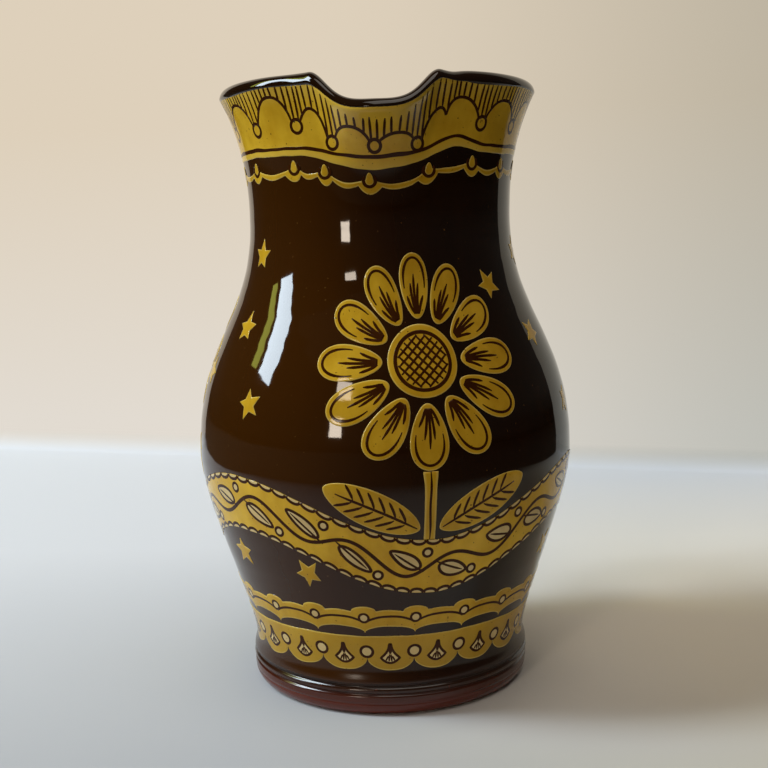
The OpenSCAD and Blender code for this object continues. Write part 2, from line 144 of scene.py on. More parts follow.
def full_turn(count):
    """Even angles once round a drawing, in radians."""
    return np.linspace(0, 2 * np.pi, count, endpoint=False)


def wrapped(a):
    """Angle brought within half a turn of zero, in degrees."""
    return (a + 180) % 360 - 180


# Wall of the jug

GROOVE_TOP = GROOVES_Z[-1] + GROOVE_W / 2
foot_turn = np.linspace(0, np.pi / 2, 60)
OUTLINE = np.concatenate([
    np.stack([FOOT_Z * (1 - np.cos(foot_turn)), BASE_R + (FOOT_R - BASE_R) * np.sin(foot_turn)], -1),
    upright(FOOT_R, GROOVE_TOP, WAIST_R, WAIST_Z, FOOT_HOLD),
    upright(WAIST_R, WAIST_Z, BELLY_R, BELLY_Z, BELLY_HOLD)[1:],
    upright(BELLY_R, BELLY_Z, NECK_R, NECK_Z, SHOULDER_HOLD)[1:]])


def body_r(z):
    """Radius of the clay from the base to the neck, read off the outline."""
    return np.interp(z, OUTLINE[:, 0], OUTLINE[:, 1])


def lip_level(a):
    """1 at the lip's middle, rounding off and easing to 0 where the rim is level again."""
    return 1 - ease((np.abs(a - LIP_TURN) / LIP_END) ** LIP_ROUND)


def edge_z(a):
    """Height of the middle of the rim's roll at angle a: level, less the lip's dip and a sag beside it."""
    return JUG_H - ROLL - LIP_DIP * lip_level(a) - RIM_SAG * bell(a, SAG_AT, SAG_FADE)


def collar_r(a, s):
    """Radius of the collar at share s of its height: the flare as a power of s, plus the lip's pull."""
    push = LIP_PULL * bell(a, 0, LIP_FADE) - LIP_PINCH * bell(np.abs(a), PINCH_AT, PINCH_FADE)
    return NECK_R + (RIM_R - NECK_R) * s ** COLLAR_FLARE + push * s ** LIP_GROW


def collar_t(s):
    """Thickness of the collar's wall, thinning evenly to the rim."""
    return WALL_T + (RIM_T - WALL_T) * s


def throwing(a, z):
    """Ripple of the thrown wall: two faint spirals and a slight oval, fading out at foot and collar."""
    t = np.radians(a)
    ripple = (SPIRAL_D * np.sin(2 * np.pi * z / SPIRAL_PITCH + t)
              + FINE_D * np.sin(2 * np.pi * z / FINE_PITCH - 2 * t + FINE_PHASE)
              + OVAL_D * np.cos(2 * t + OVAL_PHASE))
    return ripple * ease(z, *RIPPLE_IN) * (1 - ease(z, *RIPPLE_OUT))


def wall_r(a, z):
    """Radius outside the coat at angle a and height z: outline, then collar, then the rim's roll."""
    a, z = np.broadcast_arrays(np.asarray(a, float), np.asarray(z, float))
    a = wrapped(a)
    top = edge_z(a)
    share = np.clip((z - NECK_Z) / (top - NECK_Z), 0, 1)
    over = np.clip(z - top, 0, ROLL_REACH * ROLL)
    rolled = ROLL - np.sqrt(ROLL ** 2 - over ** 2)
    clay = np.where(z > NECK_Z, collar_r(a, share) - rolled, body_r(z))
    return clay + COAT_T + throwing(a, z)


def around(a, r, z):
    """Points at angle a from the lip, positive to the right of it: x = r sin a, y = -r cos a."""
    a, r, z = np.broadcast_arrays(a, r, z)
    t = np.radians(a)
    return np.stack([r * np.sin(t), -r * np.cos(t), z], -1)


def on_wall(a, z, d):
    """Points d off the coat's outside at angle a and height z."""
    return around(a, wall_r(a, z) + d, z)


def per_degree(a, z):
    """Millimetres of wall to one degree at angle a and height z."""
    return np.radians(wall_r(a, z))


def drawn(a, z, u, v):
    """Angle and height of the point (u, v) of a flat drawing, in millimetres from (a, z)."""
    return np.stack(np.broadcast_arrays(a + u / per_degree(a, z), z + v), -1)


# Unsteady hand: waves as count round the jug and share of the size, and what sets their phases apart
HAND_WAVES, HAND_PHASE = ((5, 1.0), (11, 0.8), (23, 0.5), (41, 0.35)), 1.7


def hand(a, seed, size=0.1):
    """Unsteadiness of a hand-drawn edge: four waves round the jug whose phases come from seed."""
    t = np.radians(a)
    return size * sum(share * np.sin(n * t + seed * (HAND_PHASE + n)) for n, share in HAND_WAVES)


# Mesh building

def triangles(*corners):
    """Triangles from three arrays of vertex numbers, spread to one shape."""
    return np.stack(np.broadcast_arrays(*corners), -1).reshape(-1, 3)


def end_fans(copies, n, m):
    """Fans that close the first and last sections of strips, each of n sections with m points."""
    k = np.arange(1, m - 1)
    first = np.arange(copies)[:, None] * n * m
    last = first + (n - 1) * m
    return [triangles(first, first + k, first + k + 1), triangles(last, last + k + 1, last + k)]


def grid(points, wrap_u=False, wrap_v=False, edge=None):
    """Quads over grids of points (copies, nu, nv, 3): each face steps along u, then along v."""
    points = points.reshape((-1,) + points.shape[-3:])
    copies, nu, nv = points.shape[:3]
    i = np.arange(nu if wrap_u else nu - 1)[:, None]
    j = np.arange(nv if wrap_v else nv - 1)[None, :]
    i_next, j_next = (i + 1) % nu, (j + 1) % nv
    quads = np.stack([i * nv + j, i_next * nv + j, i_next * nv + j_next, i * nv + j_next], -1)
    quads = quads.reshape(1, -1, 4) + np.arange(copies)[:, None, None] * nu * nv
    shade = np.zeros(points.shape[:3]) if edge is None else np.broadcast_to(edge, points.shape[:3])
    return points.reshape(-1, 3), [quads.reshape(-1, 4)], shade.ravel()


def put_mesh(name, parts, material, nodes=()):
    """One piece from several (points, face arrays, edge shade) parts, in millimetres, set on the jug."""
    starts = np.cumsum([0] + [len(part[0]) for part in parts])
    points = np.concatenate([part[0] for part in parts]) * MM
    faces = [face + start for part, start in zip(parts, starts) for face in part[1]]
    sizes = np.concatenate([np.full(len(face), face.shape[1]) for face in faces])
    mesh = bpy.data.meshes.new(name)
    mesh.vertices.add(len(points))
    mesh.vertices.foreach_set("co", points.ravel())
    mesh.loops.add(int(sizes.sum()))
    mesh.loops.foreach_set("vertex_index", np.concatenate([face.ravel() for face in faces]))
    mesh.polygons.add(len(sizes))
    mesh.polygons.foreach_set("loop_start", np.concatenate([[0], np.cumsum(sizes)[:-1]]))
    mesh.polygons.foreach_set("use_smooth", np.ones(len(sizes), bool))
    shade = mesh.attributes.new("slip_edge_and_lit_side", "FLOAT", "POINT")
    shade.data.foreach_set("value", np.concatenate([part[2] for part in parts]))
    mesh.update(calc_edges=True)
    mesh.validate()
    mesh.materials.append(material)
    piece = bpy.data.objects.new(name, mesh)
    bpy.context.scene.collection.objects.link(piece)
    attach(piece, "root")
    if nodes:
        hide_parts(*nodes)


def with_poles(a, r, z, start, stop):
    """Grid round the jug through rows of radius and height, closed on the axis at two heights."""
    points = around(a, r, z)
    skin, quads, shade = grid(points, True)
    count, rows = points.shape[:2]
    first = np.arange(count) * rows
    ahead = np.roll(first, -1)
    hubs = np.array([[0, 0, start], [0, 0, stop]])
    fans = [triangles(len(skin), ahead, first),
            triangles(len(skin) + 1, first + rows - 1, ahead + rows - 1)]
    return np.concatenate([skin, hubs]), quads + fans, np.concatenate([shade, [0, 0]])


def ring_band(lo, hi, rows, sink=SINK, count=720, pale=(0.5, 0.5)):
    """Band of slip between two edges given as functions of the angle. Rows run up the outside with a
    rounded shoulder along each edge, and come back down sunk under it, so the section is closed. The slip
    thins out over the two widths in pale, above its lower edge and below its upper one."""
    a = round_jug(count)
    low, high = lo(a)[:, None], hi(a)[:, None]
    inner = SHOULDER[-1]
    share = np.linspace(0, 1, rows + 2)[1:-1]
    z = np.concatenate([low + SHOULDER, low + inner + (high - low - 2 * inner) * share,
                        high - SHOULDER[::-1]], 1)
    rise = np.concatenate([SHOULDER_RISE, np.ones(rows), SHOULDER_RISE[::-1]]) * SLIP_T
    rise[[0, -1]] = -sink / 2
    thin = np.clip(1 - np.minimum((z - low) / pale[0], (high - z) / pale[1]), 0, 1)
    back = z[:, -2:0:-1]
    points = np.concatenate([on_wall(a[:, None], z, rise), on_wall(a[:, None], back, -sink)], 1)
    return grid(points, True, True, np.concatenate([thin, 0 * back], 1)[None])


# Rings on a patch's level top, as shares of its outline, and the most of it that the shoulder may take
PATCH_RINGS, SHOULDER_MOST = (0.2, 0.45, 0.65), 0.3


def patches(outlines, base=0.0, thick=SLIP_T, shoulder=1.0):
    """Raised patches with outlines (copies, n, 2) of angle and height, counterclockwise. Rings shrink each
    outline towards its middle; the top is level, its rim rounds off, and a fan closes the sunk back."""
    middle = outlines.mean(1, keepdims=True)
    scale = per_degree(middle[..., 0], middle[..., 1])[..., None] * np.array([1, 0]) + np.array([0, 1])
    reach = (outlines - middle) * scale
    span = np.linalg.norm(reach, axis=-1, keepdims=True)
    shares = [np.full(span.shape, share) for share in PATCH_RINGS]
    shares += [1 - np.minimum(shoulder * inset / span, SHOULDER_MOST * inset / SHOULDER[-1])
               for inset in SHOULDER[::-1]]
    rings = np.stack([middle + reach * share / scale for share in shares], 1)
    level = np.ones(len(PATCH_RINGS))
    rise = base + np.concatenate([level, SHOULDER_RISE[::-1]]) * thick
    rise[-1] = base - SINK
    edge = np.concatenate([0 * level, SHOULDER_EDGE[::-1]])
    copies, count, n = rings.shape[:3]
    skin, quads, shade = grid(on_wall(rings[..., 0], rings[..., 1], rise[:, None]), False, True,
                              edge[:, None])
    hub_a, hub_z = middle[:, 0].T
    hubs = np.concatenate([on_wall(hub_a, hub_z, base + thick), on_wall(hub_a, hub_z, base - 2 * SINK)])
    j = np.arange(n)
    ahead = (j + 1) % n
    first = np.arange(copies)[:, None] * count * n
    last = first + (count - 1) * n
    hub = len(skin) + np.arange(copies)[:, None]
    fans = [triangles(hub, first + j, first + ahead), triangles(hub + copies, last + ahead, last + j)]
    return np.concatenate([skin, hubs]), quads + fans, np.concatenate([shade, np.zeros(len(hubs))])


# Half section of a drawn line: shares of its width, and heights over the slip it cuts down through
HALF_ACROSS = np.array([0.54, 0.5, 0.44, 0.36])
HALF_RISE = np.array([-SLIP_T - 0.06, -0.01, 0.8 * LINE_T, LINE_T])
ACROSS = np.concatenate([-HALF_ACROSS, HALF_ACROSS[::-1]])
LINE_RISE = np.concatenate([HALF_RISE, HALF_RISE[::-1]])
# Share of a line's length over which each open end thins
TAPER_L = 0.2


def strokes(paths, width, closed=False, taper=0.4):
    """Drawn lines: a flat section of eight points carried along paths (copies, n, 2) of angle and height.
    The line thins to the share taper at open ends, its sides go down through the slip, and end fans close
    it."""
    copies, n = paths.shape[:2]
    a, z = paths[..., 0], paths[..., 1]
    scale = per_degree(a, z)
    step = np.roll(paths, -1, 1) - np.roll(paths, 1, 1) if closed else np.gradient(paths, axis=1)
    du, dv = wrapped(step[..., 0]) * scale, step[..., 1]
    length = np.hypot(du, dv)
    ends = np.linspace(0, 1, n)
    thin = 1 if closed else np.clip(np.minimum(ends, 1 - ends) / TAPER_L, 0, 1) * (1 - taper) + taper
    offset = (np.broadcast_to(width, a.shape) * thin)[..., None] * ACROSS
    points = on_wall(a[..., None] - (dv / length / scale)[..., None] * offset,
                     z[..., None] + (du / length)[..., None] * offset, SLIP_T + LINE_RISE)
    skin, faces, shade = grid(points, closed, True)
    return skin, faces if closed else faces + end_fans(copies, n, len(ACROSS)), shade


# Strip of slip: shares of its width across one shoulder and over its level top
STRIP_SHOULDER, STRIP_TOP = np.array([0, 0.03, 0.1, 0.22]), np.array([0.35, 0.5, 0.65])


def strip(left, right):
    """Raised strip between two edges (copies, n, 2), left and right of its heading down the wall: points
    run across with rounded shoulders, come back sunk beneath, and end faces close it."""
    level = np.ones(len(STRIP_TOP))
    across = np.concatenate([STRIP_SHOULDER, STRIP_TOP, 1 - STRIP_SHOULDER[::-1]])
    rise = np.concatenate([SHOULDER_RISE, level, SHOULDER_RISE[::-1]]) * SLIP_T
    rise[[0, -1]] = -SINK
    edge = np.concatenate([SHOULDER_EDGE, 0 * level, SHOULDER_EDGE[::-1], [0, 0]])
    flat = left[:, :, None] + (right - left)[:, :, None] * across[:, None]
    under = flat[:, :, [-3, 2]]
    points = np.concatenate([on_wall(flat[..., 0], flat[..., 1], rise),
                             on_wall(under[..., 0], under[..., 1], -2 * SINK)], 2)
    skin, faces, shade = grid(points, False, True, edge)
    return skin, faces + end_fans(*points.shape[:3]), shade


def path(a, z):
    """Drawn path through angles and heights."""
    return np.stack([a, z], -1)


def rings_at(spots, radius, n=28):
    """Closed circles of a drawing radius round spots (copies, 2) of angle and height, counterclockwise."""
    t = full_turn(n)
    a, z = spots.T[..., None]
    r = np.broadcast_to(radius, len(spots))[:, None]
    return drawn(a, z, r * np.cos(t), r * np.sin(t))


def leaf_outline(b, length, width, sharp=0.0, lean=0.0):
    """Points (along, across) of a petal or leaf about its middle, at angles b round it: an ellipse whose
    ends a power of the sine sharpens and whose breadth a share of the cosine moves towards one end."""
    c, s = np.cos(b), np.sin(b)
    return length / 2 * c, width / 2 * s * np.abs(s) ** sharp * (1 + lean * c)


# Materials

def linear(colour):
    """Linear RGBA of an sRGB hex colour."""
    parts = np.array([int(colour[i:i + 2], 16) for i in (1, 3, 5)]) / 255
    low = parts / 12.92
    return (*np.where(parts <= 0.04045, low, ((parts + 0.055) / 1.055) ** 2.4), 1.0)


def add(tree, kind, settings=(), inputs=()):
    """Adds a shader node and gives its outputs: settings are its own properties, inputs its sockets, each a
    value or a link."""
    new = tree.nodes.new("ShaderNode" + kind)
    for key, value in dict(settings).items():
        setattr(new, key, value)
    for key, value in dict(inputs).items():
        if isinstance(value, bpy.types.NodeSocket):
            tree.links.new(value, new.inputs[key])
        else:
            new.inputs[key].default_value = value
    return new.outputs


def new_material(name):
    """Empty node material and its tree."""
    material = bpy.data.materials.new(name)
    material.use_nodes = True
    material.node_tree.nodes.clear()
    return material, material.node_tree


# Sockets of a colour mix: its share, its two colours and its result
BY, FROM, TO, MIXED = 0, 6, 7, 2


def mix(tree, share, first, second):
    """Colour that goes from the first to the second by a share. Each is a hex colour or a link."""
    first, second = [linear(tone) if isinstance(tone, str) else tone for tone in (first, second)]
    return add(tree, "Mix", {"data_type": "RGBA"}, {BY: share, FROM: first, TO: second})[MIXED]


def ramp(tree, value, span, smooth=False, to=(0, 1)):
    """Value carried from a span to the range in to, evenly or by a smooth step, and held at both ends."""
    step = {"interpolation_type": "SMOOTHSTEP"} if smooth else {}
    return add(tree, "MapRange", step, {"Value": value, "From Min": span[0], "From Max": span[1],
                                        "To Min": to[0], "To Max": to[1]})[0]


def compute(tree, operation, *values):
    """Result of a Math node on two or three values or links."""
    return add(tree, "Math", {"operation": operation}, dict(enumerate(values)))[0]


def noise(tree, place, width, detail, rough=0.5):
    """Noise in patches of a width in millimetres."""
    return add(tree, "TexNoise", inputs={"Vector": place, "Scale": 1 / (width * MM), "Detail": detail,
                                         "Roughness": rough})[0]


# Glaze runs: width in millimetres, squeeze along the wall and share in the drift of the ground colour
RUN_MM, RUN_SQUEEZE, RUN_SHARE = 3.5, 0.12, 0.45
# Noise over which the ground drifts to the pooled colour, and over which the gloss goes through its range
POOL_DRIFT, GLOSS_DRIFT = (0.5, 0.98), (0.3, 0.7)
# Wave of the line where the foot's colour begins, strength of thin edges and painted lit side, softness of
# specks
FOOT_WAVE_MM, EDGE_SHARE, SPECK_SOFT = 4, 0.75, 0.05
# Swell of the glaze's skin: width and height in millimetres, and strength
SWELL_MM, SWELL_H, SWELL_SHARE = 7, 0.1, 0.25


def glazed(name, ground, pooled, pool_mm, speck, speck_mm, speck_cut, rough, edge=None, foot=None,
           satin=None, ior=1.5):
    """Glazed slip or clay. The ground colour drifts to the pooled one over patches pool_mm wide and down
    faint runs, specks speck_mm wide show where fine noise passes speck_cut, and edge is the colour where
    the slip is thin and, on the coat, the painted light of its lit left side. Foot is (colour, low, high)
    for a ground that turns to that colour from the high level down to the low one, on the pale slip a
    painted shade, satin is (roughness, low, high) for a glaze that dulls in the same way, and ior sets
    how strongly it mirrors."""
    material, tree = new_material(name)
    place = add(tree, "TexCoord")["Object"]
    height = add(tree, "SeparateXYZ", inputs={0: place})["Z"]
    pool = noise(tree, place, pool_mm, detail=4, rough=0.6)
    run_place = add(tree, "Mapping", inputs={"Vector": place, "Scale": (1, 1, RUN_SQUEEZE)})[0]
    run = noise(tree, run_place, RUN_MM, detail=2)
    drift = compute(tree, "MULTIPLY_ADD", run, RUN_SHARE, pool)
    colour = mix(tree, ramp(tree, drift, POOL_DRIFT), ground, pooled)
    if foot:
        tone, low, high = foot
        wavy = compute(tree, "MULTIPLY_ADD", pool, FOOT_WAVE_MM * MM, height)
        colour = mix(tree, ramp(tree, wavy, (high * MM, low * MM), smooth=True), colour, tone)
    if edge:
        shade = add(tree, "Attribute", {"attribute_name": "slip_edge_and_lit_side"})["Fac"]
        colour = mix(tree, compute(tree, "MULTIPLY", shade, EDGE_SHARE), colour, edge)
    fine = noise(tree, place, speck_mm, detail=1)
    colour = mix(tree, ramp(tree, fine, (speck_cut, speck_cut + SPECK_SOFT)), colour, speck)
    gloss = ramp(tree, pool, GLOSS_DRIFT, to=rough)
    if satin:
        most, low, high = satin
        dull = ramp(tree, height, (high * MM, low * MM), smooth=True, to=(0, most))
        gloss = compute(tree, "MAXIMUM", gloss, dull)
    swell = noise(tree, place, SWELL_MM, detail=2)
    skin = add(tree, "Bump", inputs={"Height": swell, "Strength": SWELL_SHARE, "Distance": SWELL_H * MM})[0]
    surface = add(tree, "BsdfPrincipled", inputs={"Base Color": colour, "Roughness": gloss, "IOR": ior,
                                                  "Normal": skin})[0]
    add(tree, "OutputMaterial", inputs={0: surface})
    return material


# Dark iron slip under clear lead glaze: a brown black mirror, painted light browns its left, satin maroon
# low down
DARK_SLIP = glazed("iron_slip_clear_glazed", "#180b02", "#221003", 26, "#5a3d1c", 1.1, 0.765,
                   (0.03, 0.06), edge="#3f2104", foot=("#38170b", 4, 17), satin=(0.2, 9, 26),
                   ior=1.41)
# White clay slip under honey glaze: warm ochre with paler thin edges and a few brown iron specks
# Its foot tone darkens it from 36 mm down to 12 mm: a painted shade low on the jug
PALE_SLIP = glazed("white_slip_honey_glazed", "#d6aa2c", "#b88a16", 13, "#6e4d12", 0.9, 0.73,
                   (0.05, 0.1), edge="#e2c66a", foot=("#ae8824", 12, 36), ior=1.34)
# The same slip painted brighter, a painted light for the dim broad bands of collar and ribbon, with warmer
# edges
PAINTED_LIGHT_SLIP = glazed("white_slip_painted_light_honey_glazed", "#e6b930", "#c8981c", 13, "#6e4d12", 0.9, 0.73,
                    (0.05, 0.1), edge="#e2be4e", ior=1.34)
# White slip scraped thin inside small drawn rings and leaves: paler and greyer than the broad slip
THIN_SLIP = glazed("white_slip_thin_glazed", "#dfc588", "#cdae6c", 6, "#8a7440", 0.9, 0.75, (0.05, 0.1))
# Cut and inked lines under the glaze: warm brown black, slightly matter than the coat
CUT_LINE = glazed("cut_line_glazed", "#361803", "#432107", 5, "#523212", 0.9, 0.75, (0.06, 0.12), ior=1.24)
# Red earthenware under thin clear glaze: ox-blood brown that darkens and shines more up to the coat
RED_CLAY = glazed("red_earthenware_clear_glazed", "#261305", "#311808", 26, "#54261a", 1.2, 0.74,
                  (0.05, 0.12), foot=("#60210f", 2.5, 11), satin=(0.16, 9, 26))
# Thick liner glaze over bare clay: treacle brown with amber breaks
LINER = glazed("liner_treacle_glazed", "#2a1606", "#46280c", 18, "#5e3a16", 1.2, 0.74, (0.05, 0.1))


# Thrown body

# Turned foot: share of a groove's width in its bell, then level, depth and width of a fine line and a bead
GROOVE_BELL = 0.4
FINE_LINE_Z, FINE_LINE_D, FINE_LINE_W = 3.7, 0.22, 0.4
FOOT_BEAD_Z, FOOT_BEAD_D, FOOT_BEAD_W = 7.5, 0.15, 0.6
# Level below which rows lie close enough to show the turned marks, and radius of the flat floor inside
TURNED_TOP, FLOOR_R = 12, WAIST_R - WALL_T - FLOOR_FILLET


def collar_path(a, q, d):
    """Point on the collar's skin, d off the clay. q runs 0 to 1 up the outside, 1 to 2 over the roll as
    half a circle, and 2 to 3 down the inside."""
    up, down = np.clip(q, 0, 1), np.clip(3 - q, 0, 1)
    roll = np.pi * np.clip(q - 1, 0, 1)
    rim, top = collar_r(a, 1.0), edge_z(a)
    outside = collar_r(a, up) + d
    over = rim - ROLL + (ROLL + d) * np.cos(roll)
    inside = collar_r(a, down) - collar_t(down) - d
    r = np.where(q < 1, outside, np.where(q < 2, over, inside))
    z = np.where(q < 1, NECK_Z + up * (top - NECK_Z),
                 np.where(q < 2, top + (ROLL + d) * np.sin(roll), NECK_Z + down * (top - NECK_Z)))
    return r, z


def inside_r(z):
    """Radius of the clay's inside: a quarter round at the floor, then the outline less the wall."""
    t = np.arccos(np.clip(1 - (z - FLOOR_T) / FLOOR_FILLET, -1, 1))
    fillet = WAIST_R - WALL_T - FLOOR_FILLET * (1 - np.sin(t))
    return np.where(z < FLOOR_T + FLOOR_FILLET, fillet, body_r(np.maximum(z, WAIST_Z)) - WALL_T)


def foot_turning(z):
    """Turned marks at the foot, as depth off the outline: two grooves, a finer line under them and a low
    bead between them."""
    cuts = sum(GROOVE_D * bell(z, groove, GROOVE_BELL * GROOVE_W) for groove in GROOVES_Z)
    return (cuts + FINE_LINE_D * bell(z, FINE_LINE_Z, FINE_LINE_W)
            - FOOT_BEAD_D * bell(z, FOOT_BEAD_Z, FOOT_BEAD_W))


body_a = round_jug(360)[:, None]
rising_z = np.concatenate([np.linspace(0, TURNED_TOP, 90), np.linspace(TURNED_TOP, NECK_Z, 60)[1:]])
rising_r = body_r(rising_z) - foot_turning(rising_z)
collar_q = np.concatenate([np.linspace(0.04, 0.96, 14), np.linspace(1, 2, 17), np.linspace(2.04, 3, 14)])
path_r, path_z = collar_path(body_a, collar_q, 0.0)
shaft_z = np.linspace(NECK_Z, FLOOR_T + FLOOR_FILLET, 40)[1:]
fillet_z = FLOOR_T + FLOOR_FILLET * (1 - np.cos(np.linspace(np.pi / 2, 0, 14)))[1:]
falling_z = np.concatenate([shaft_z, fillet_z])
base_share = np.linspace(0.1, 0.97, 8)
floor_share = base_share[::-1]


def all_round(row):
    """The same row at every angle of the body."""
    return np.broadcast_to(row, (len(body_a), len(row)))


body_points_r = np.concatenate([
    all_round(base_share * BASE_R), all_round(rising_r), path_r, all_round(inside_r(falling_z)),
    all_round(floor_share * FLOOR_R)], 1)
body_points_z = np.concatenate([
    all_round(0 * base_share), all_round(rising_z), path_z, all_round(falling_z),
    all_round(0 * floor_share + FLOOR_T)], 1)
put_mesh("thrown_body_clay", [with_poles(body_a, body_points_r, body_points_z, 0.0, FLOOR_T)],
         RED_CLAY, ["thrown_body"])


# Collar heights: the band's dip at the lip, a hand-drawn rise right of it, and the line over its edge
BAND_DIP, DIP_FADE = 4.8, 36
BAND_EDGE_SIDE = BAND_LO + BAND_DIP
LIFT, LIFT_AT, LIFT_FADE = 1.5, 30, 9
LINE_OVER, LINE_DIP, LINE_LIFT = 2, BAND_DIP - 1.2, 1.5
# Start of the rim's dark edge, in half turns of the roll: at the sides, more at the lip, waves and a bump
RIM_SIDE, RIM_LIP = -0.018, 0.08
RIM_WAVE, RIM_WAVES = 0.008, 7
RIM_BUMP, RIM_BUMP_AT, RIM_BUMP_FADE = 0.06, 24, 7


def dip(a):
    """How far the collar's ornament follows the lip down, in shares of its dip at the middle."""
    return 1 - ease(np.abs(a), 0, DIP_FADE)


def lift(a):
    """Hand-drawn rise of the collar's lines right of the lip."""
    return LIFT * bell(a, LIFT_AT, LIFT_FADE)


def band_edge(a):
    """Lower edge of the collar's pale band."""
    return BAND_EDGE_SIDE - BAND_DIP * dip(a) + lift(a) + hand(a, 1, 0.12)


def band_line(a):
    """Dark line drawn a little above the band's lower edge."""
    return BAND_EDGE_SIDE + LINE_OVER - LINE_DIP * dip(a) + LINE_LIFT * lift(a) + hand(a, 2, 0.12)


def rim_start(a):
    """Angle on the rim's roll, in half turns, where the dark edge begins: lower at the sides than at the
    lip, with slight waves and a bump right of the lip."""
    return (RIM_SIDE + RIM_LIP * lip_level(a) + RIM_WAVE * np.sin(np.radians(RIM_WAVES * a))
            + RIM_BUMP * bell(a, RIM_BUMP_AT, RIM_BUMP_FADE))


# Dark slip coat: feathered out at the foot, tucked under the collar's band
COAT_TUCK, COAT_FEATHER, FEATHER_T = 1.2, 6, 0.03
# Lit side browned by painted light: its middle, its half width and the width of its fade, in degrees
LIT_SIDE_AT, LIT_SIDE_HALF, LIT_SIDE_FADE = -65, 95, 60


def painted_lit_side(a):
    """Share of painted light browning the coat: whole on the lit left of the lip, none on the far right."""
    return ease((LIT_SIDE_HALF - np.abs(wrapped(a - LIT_SIDE_AT))) / LIT_SIDE_FADE)


coat_a = round_jug(400)[:, None]
coat_z = COAT_Z + (band_edge(coat_a) + COAT_TUCK - COAT_Z) * np.linspace(0, 1, 170)
coat_in = -(COAT_T - FEATHER_T) * (1 - ease(coat_z, COAT_Z, COAT_FEATHER))
coat_points = np.concatenate([on_wall(coat_a, coat_z, coat_in),
                              on_wall(coat_a, coat_z[:, -2:0:-6], -COAT_T - SINK)], 1)
# Edge shade of the coat: the painted light of its lit left side, where it turns browner
put_mesh("dark_slip_coat_glaze", [grid(coat_points, True, True, painted_lit_side(coat_a))], DARK_SLIP,
         ["dark_slip_coat"])


# Dark slip on the rim: over the roll and down the inside of the collar, rounded where it starts
RIM_D, RIM_END_D, RIM_SINK_D = COAT_T + SLIP_T + 0.2, 0.45, 0.2
RIM_EDGE_SHARE, RIM_EDGE_D = [0, 0.003, 0.009, 0.02], [0.42, 0.58, 0.68]

rim_a = round_jug(720)[:, None]
rim_first = 1 + rim_start(rim_a)
rim_q = rim_first + (3 - rim_first) * np.concatenate([RIM_EDGE_SHARE, np.linspace(0.04, 1, 44)])
rim_d = np.concatenate([RIM_EDGE_D, np.full(39, RIM_D), np.linspace(RIM_D, RIM_END_D, 6)])
outer_r, outer_z = collar_path(rim_a, rim_q, rim_d)
inner_r, inner_z = collar_path(rim_a, rim_q[:, ::-1], RIM_SINK_D)
rim_points = np.concatenate([around(rim_a, outer_r, outer_z), around(rim_a, inner_r, inner_z)], 1)
put_mesh("rim_dark_edge", [grid(rim_points, True, True)], DARK_SLIP, ["rim_slip_edge"])


# Liner glaze: floor and wall inside, up to the neck, with finger rings
GLAZE_T, LINER_SINK, LINER_TUCK = 0.4, 0.3, 1.5
FINGER_D, FINGER_PITCH = 0.22, 7.3
FINGER_IN, FINGER_OUT = (22, 10), (NECK_Z - 16, 14)


def liner_ring(z):
    """Radius of the inside with the finger rings that throwing leaves there, an even wave up the wall."""
    rings = FINGER_D * np.sin(2 * np.pi * z / FINGER_PITCH)
    return inside_r(z) + rings * ease(z, *FINGER_IN) * (1 - ease(z, *FINGER_OUT))


liner_z = np.concatenate([falling_z, 0 * floor_share + FLOOR_T])
liner_r = np.concatenate([liner_ring(falling_z), floor_share * FLOOR_R])
liner_tilt = np.concatenate([0 * shaft_z, np.linspace(0, 1, len(fillet_z)), 0 * floor_share + 1])
seen_r = np.concatenate([[NECK_R - WALL_T - GLAZE_T], liner_r - GLAZE_T * (1 - liner_tilt)])
seen_z = np.concatenate([[NECK_Z + LINER_TUCK], liner_z + GLAZE_T * liner_tilt])
hidden_r = (liner_r + LINER_SINK * (1 - liner_tilt))[::-1]
hidden_z = (liner_z - LINER_SINK * liner_tilt)[::-1]
put_mesh("inside_liner_glaze", [with_poles(
    round_jug(240)[:, None], np.concatenate([hidden_r, seen_r]), np.concatenate([hidden_z, seen_z]),
    FLOOR_T - LINER_SINK, FLOOR_T + GLAZE_T)], LINER, ["inner_glaze"])


# Pale slip band on the collar, with its drawn arches, rings and hatching
BAND_TUCK, BAND_PALE = 0.55, (3, 5)


def rim_start_z(a):
    """Height at which the dark edge of the rim begins: on the collar's slope if its angle is below zero,
    else up the roll by the angle's sine."""
    start = rim_start(a)
    top = edge_z(a)
    rolled = top + ROLL * np.sin(np.pi * np.maximum(start, 0))
    return np.where(start < 0, top + start * (top - NECK_Z), rolled)


def band_top(a):
    """Upper edge of the band, tucked under the dark edge of the rim."""
    return rim_start_z(a) + BAND_TUCK


# The collar band takes the slip painted brighter: painted light on the collar
put_mesh("collar_band_slip", [ring_band(band_edge, band_top, 22, sink=COAT_T + SINK, pale=BAND_PALE)],
         PAINTED_LIGHT_SLIP, ["collar_band"])

# Drops between the arches: angles, as drawn round the lip and evenly from there to the handle, then the
# rise of each arch and the share of its span at which it peaks
DROPS = np.array([-157.5, -136.5, -115.5, -94.5, -73.5, -52.4, -31.4, -16.7, -1.2, 14.2, 25.2, 42.1,
                  63.5, 84.5, 105.5, 126.5, 147.5])
ARCH_RISE = np.array([6.2, 6.6, 6.0, 6.5, 6.3, 6.8, 5.6, 3.2, 1.9, 4.2, 5.0, 5.2, 6.2, 6.5, 6.0, 6.4])
ARCH_PEAK = np.array([0.5, 0.52, 0.47, 0.5, 0.5, 0.56, 0.6, 0.48, 0.54, 0.5, 0.42, 0.5, 0.5, 0.48, 0.52,
                      0.5])
# Power and root of an arch's bow, and the share of its span left clear at each end
ARCH_BOW, ARCH_MARGIN = (2.3, 0.75), 0.002
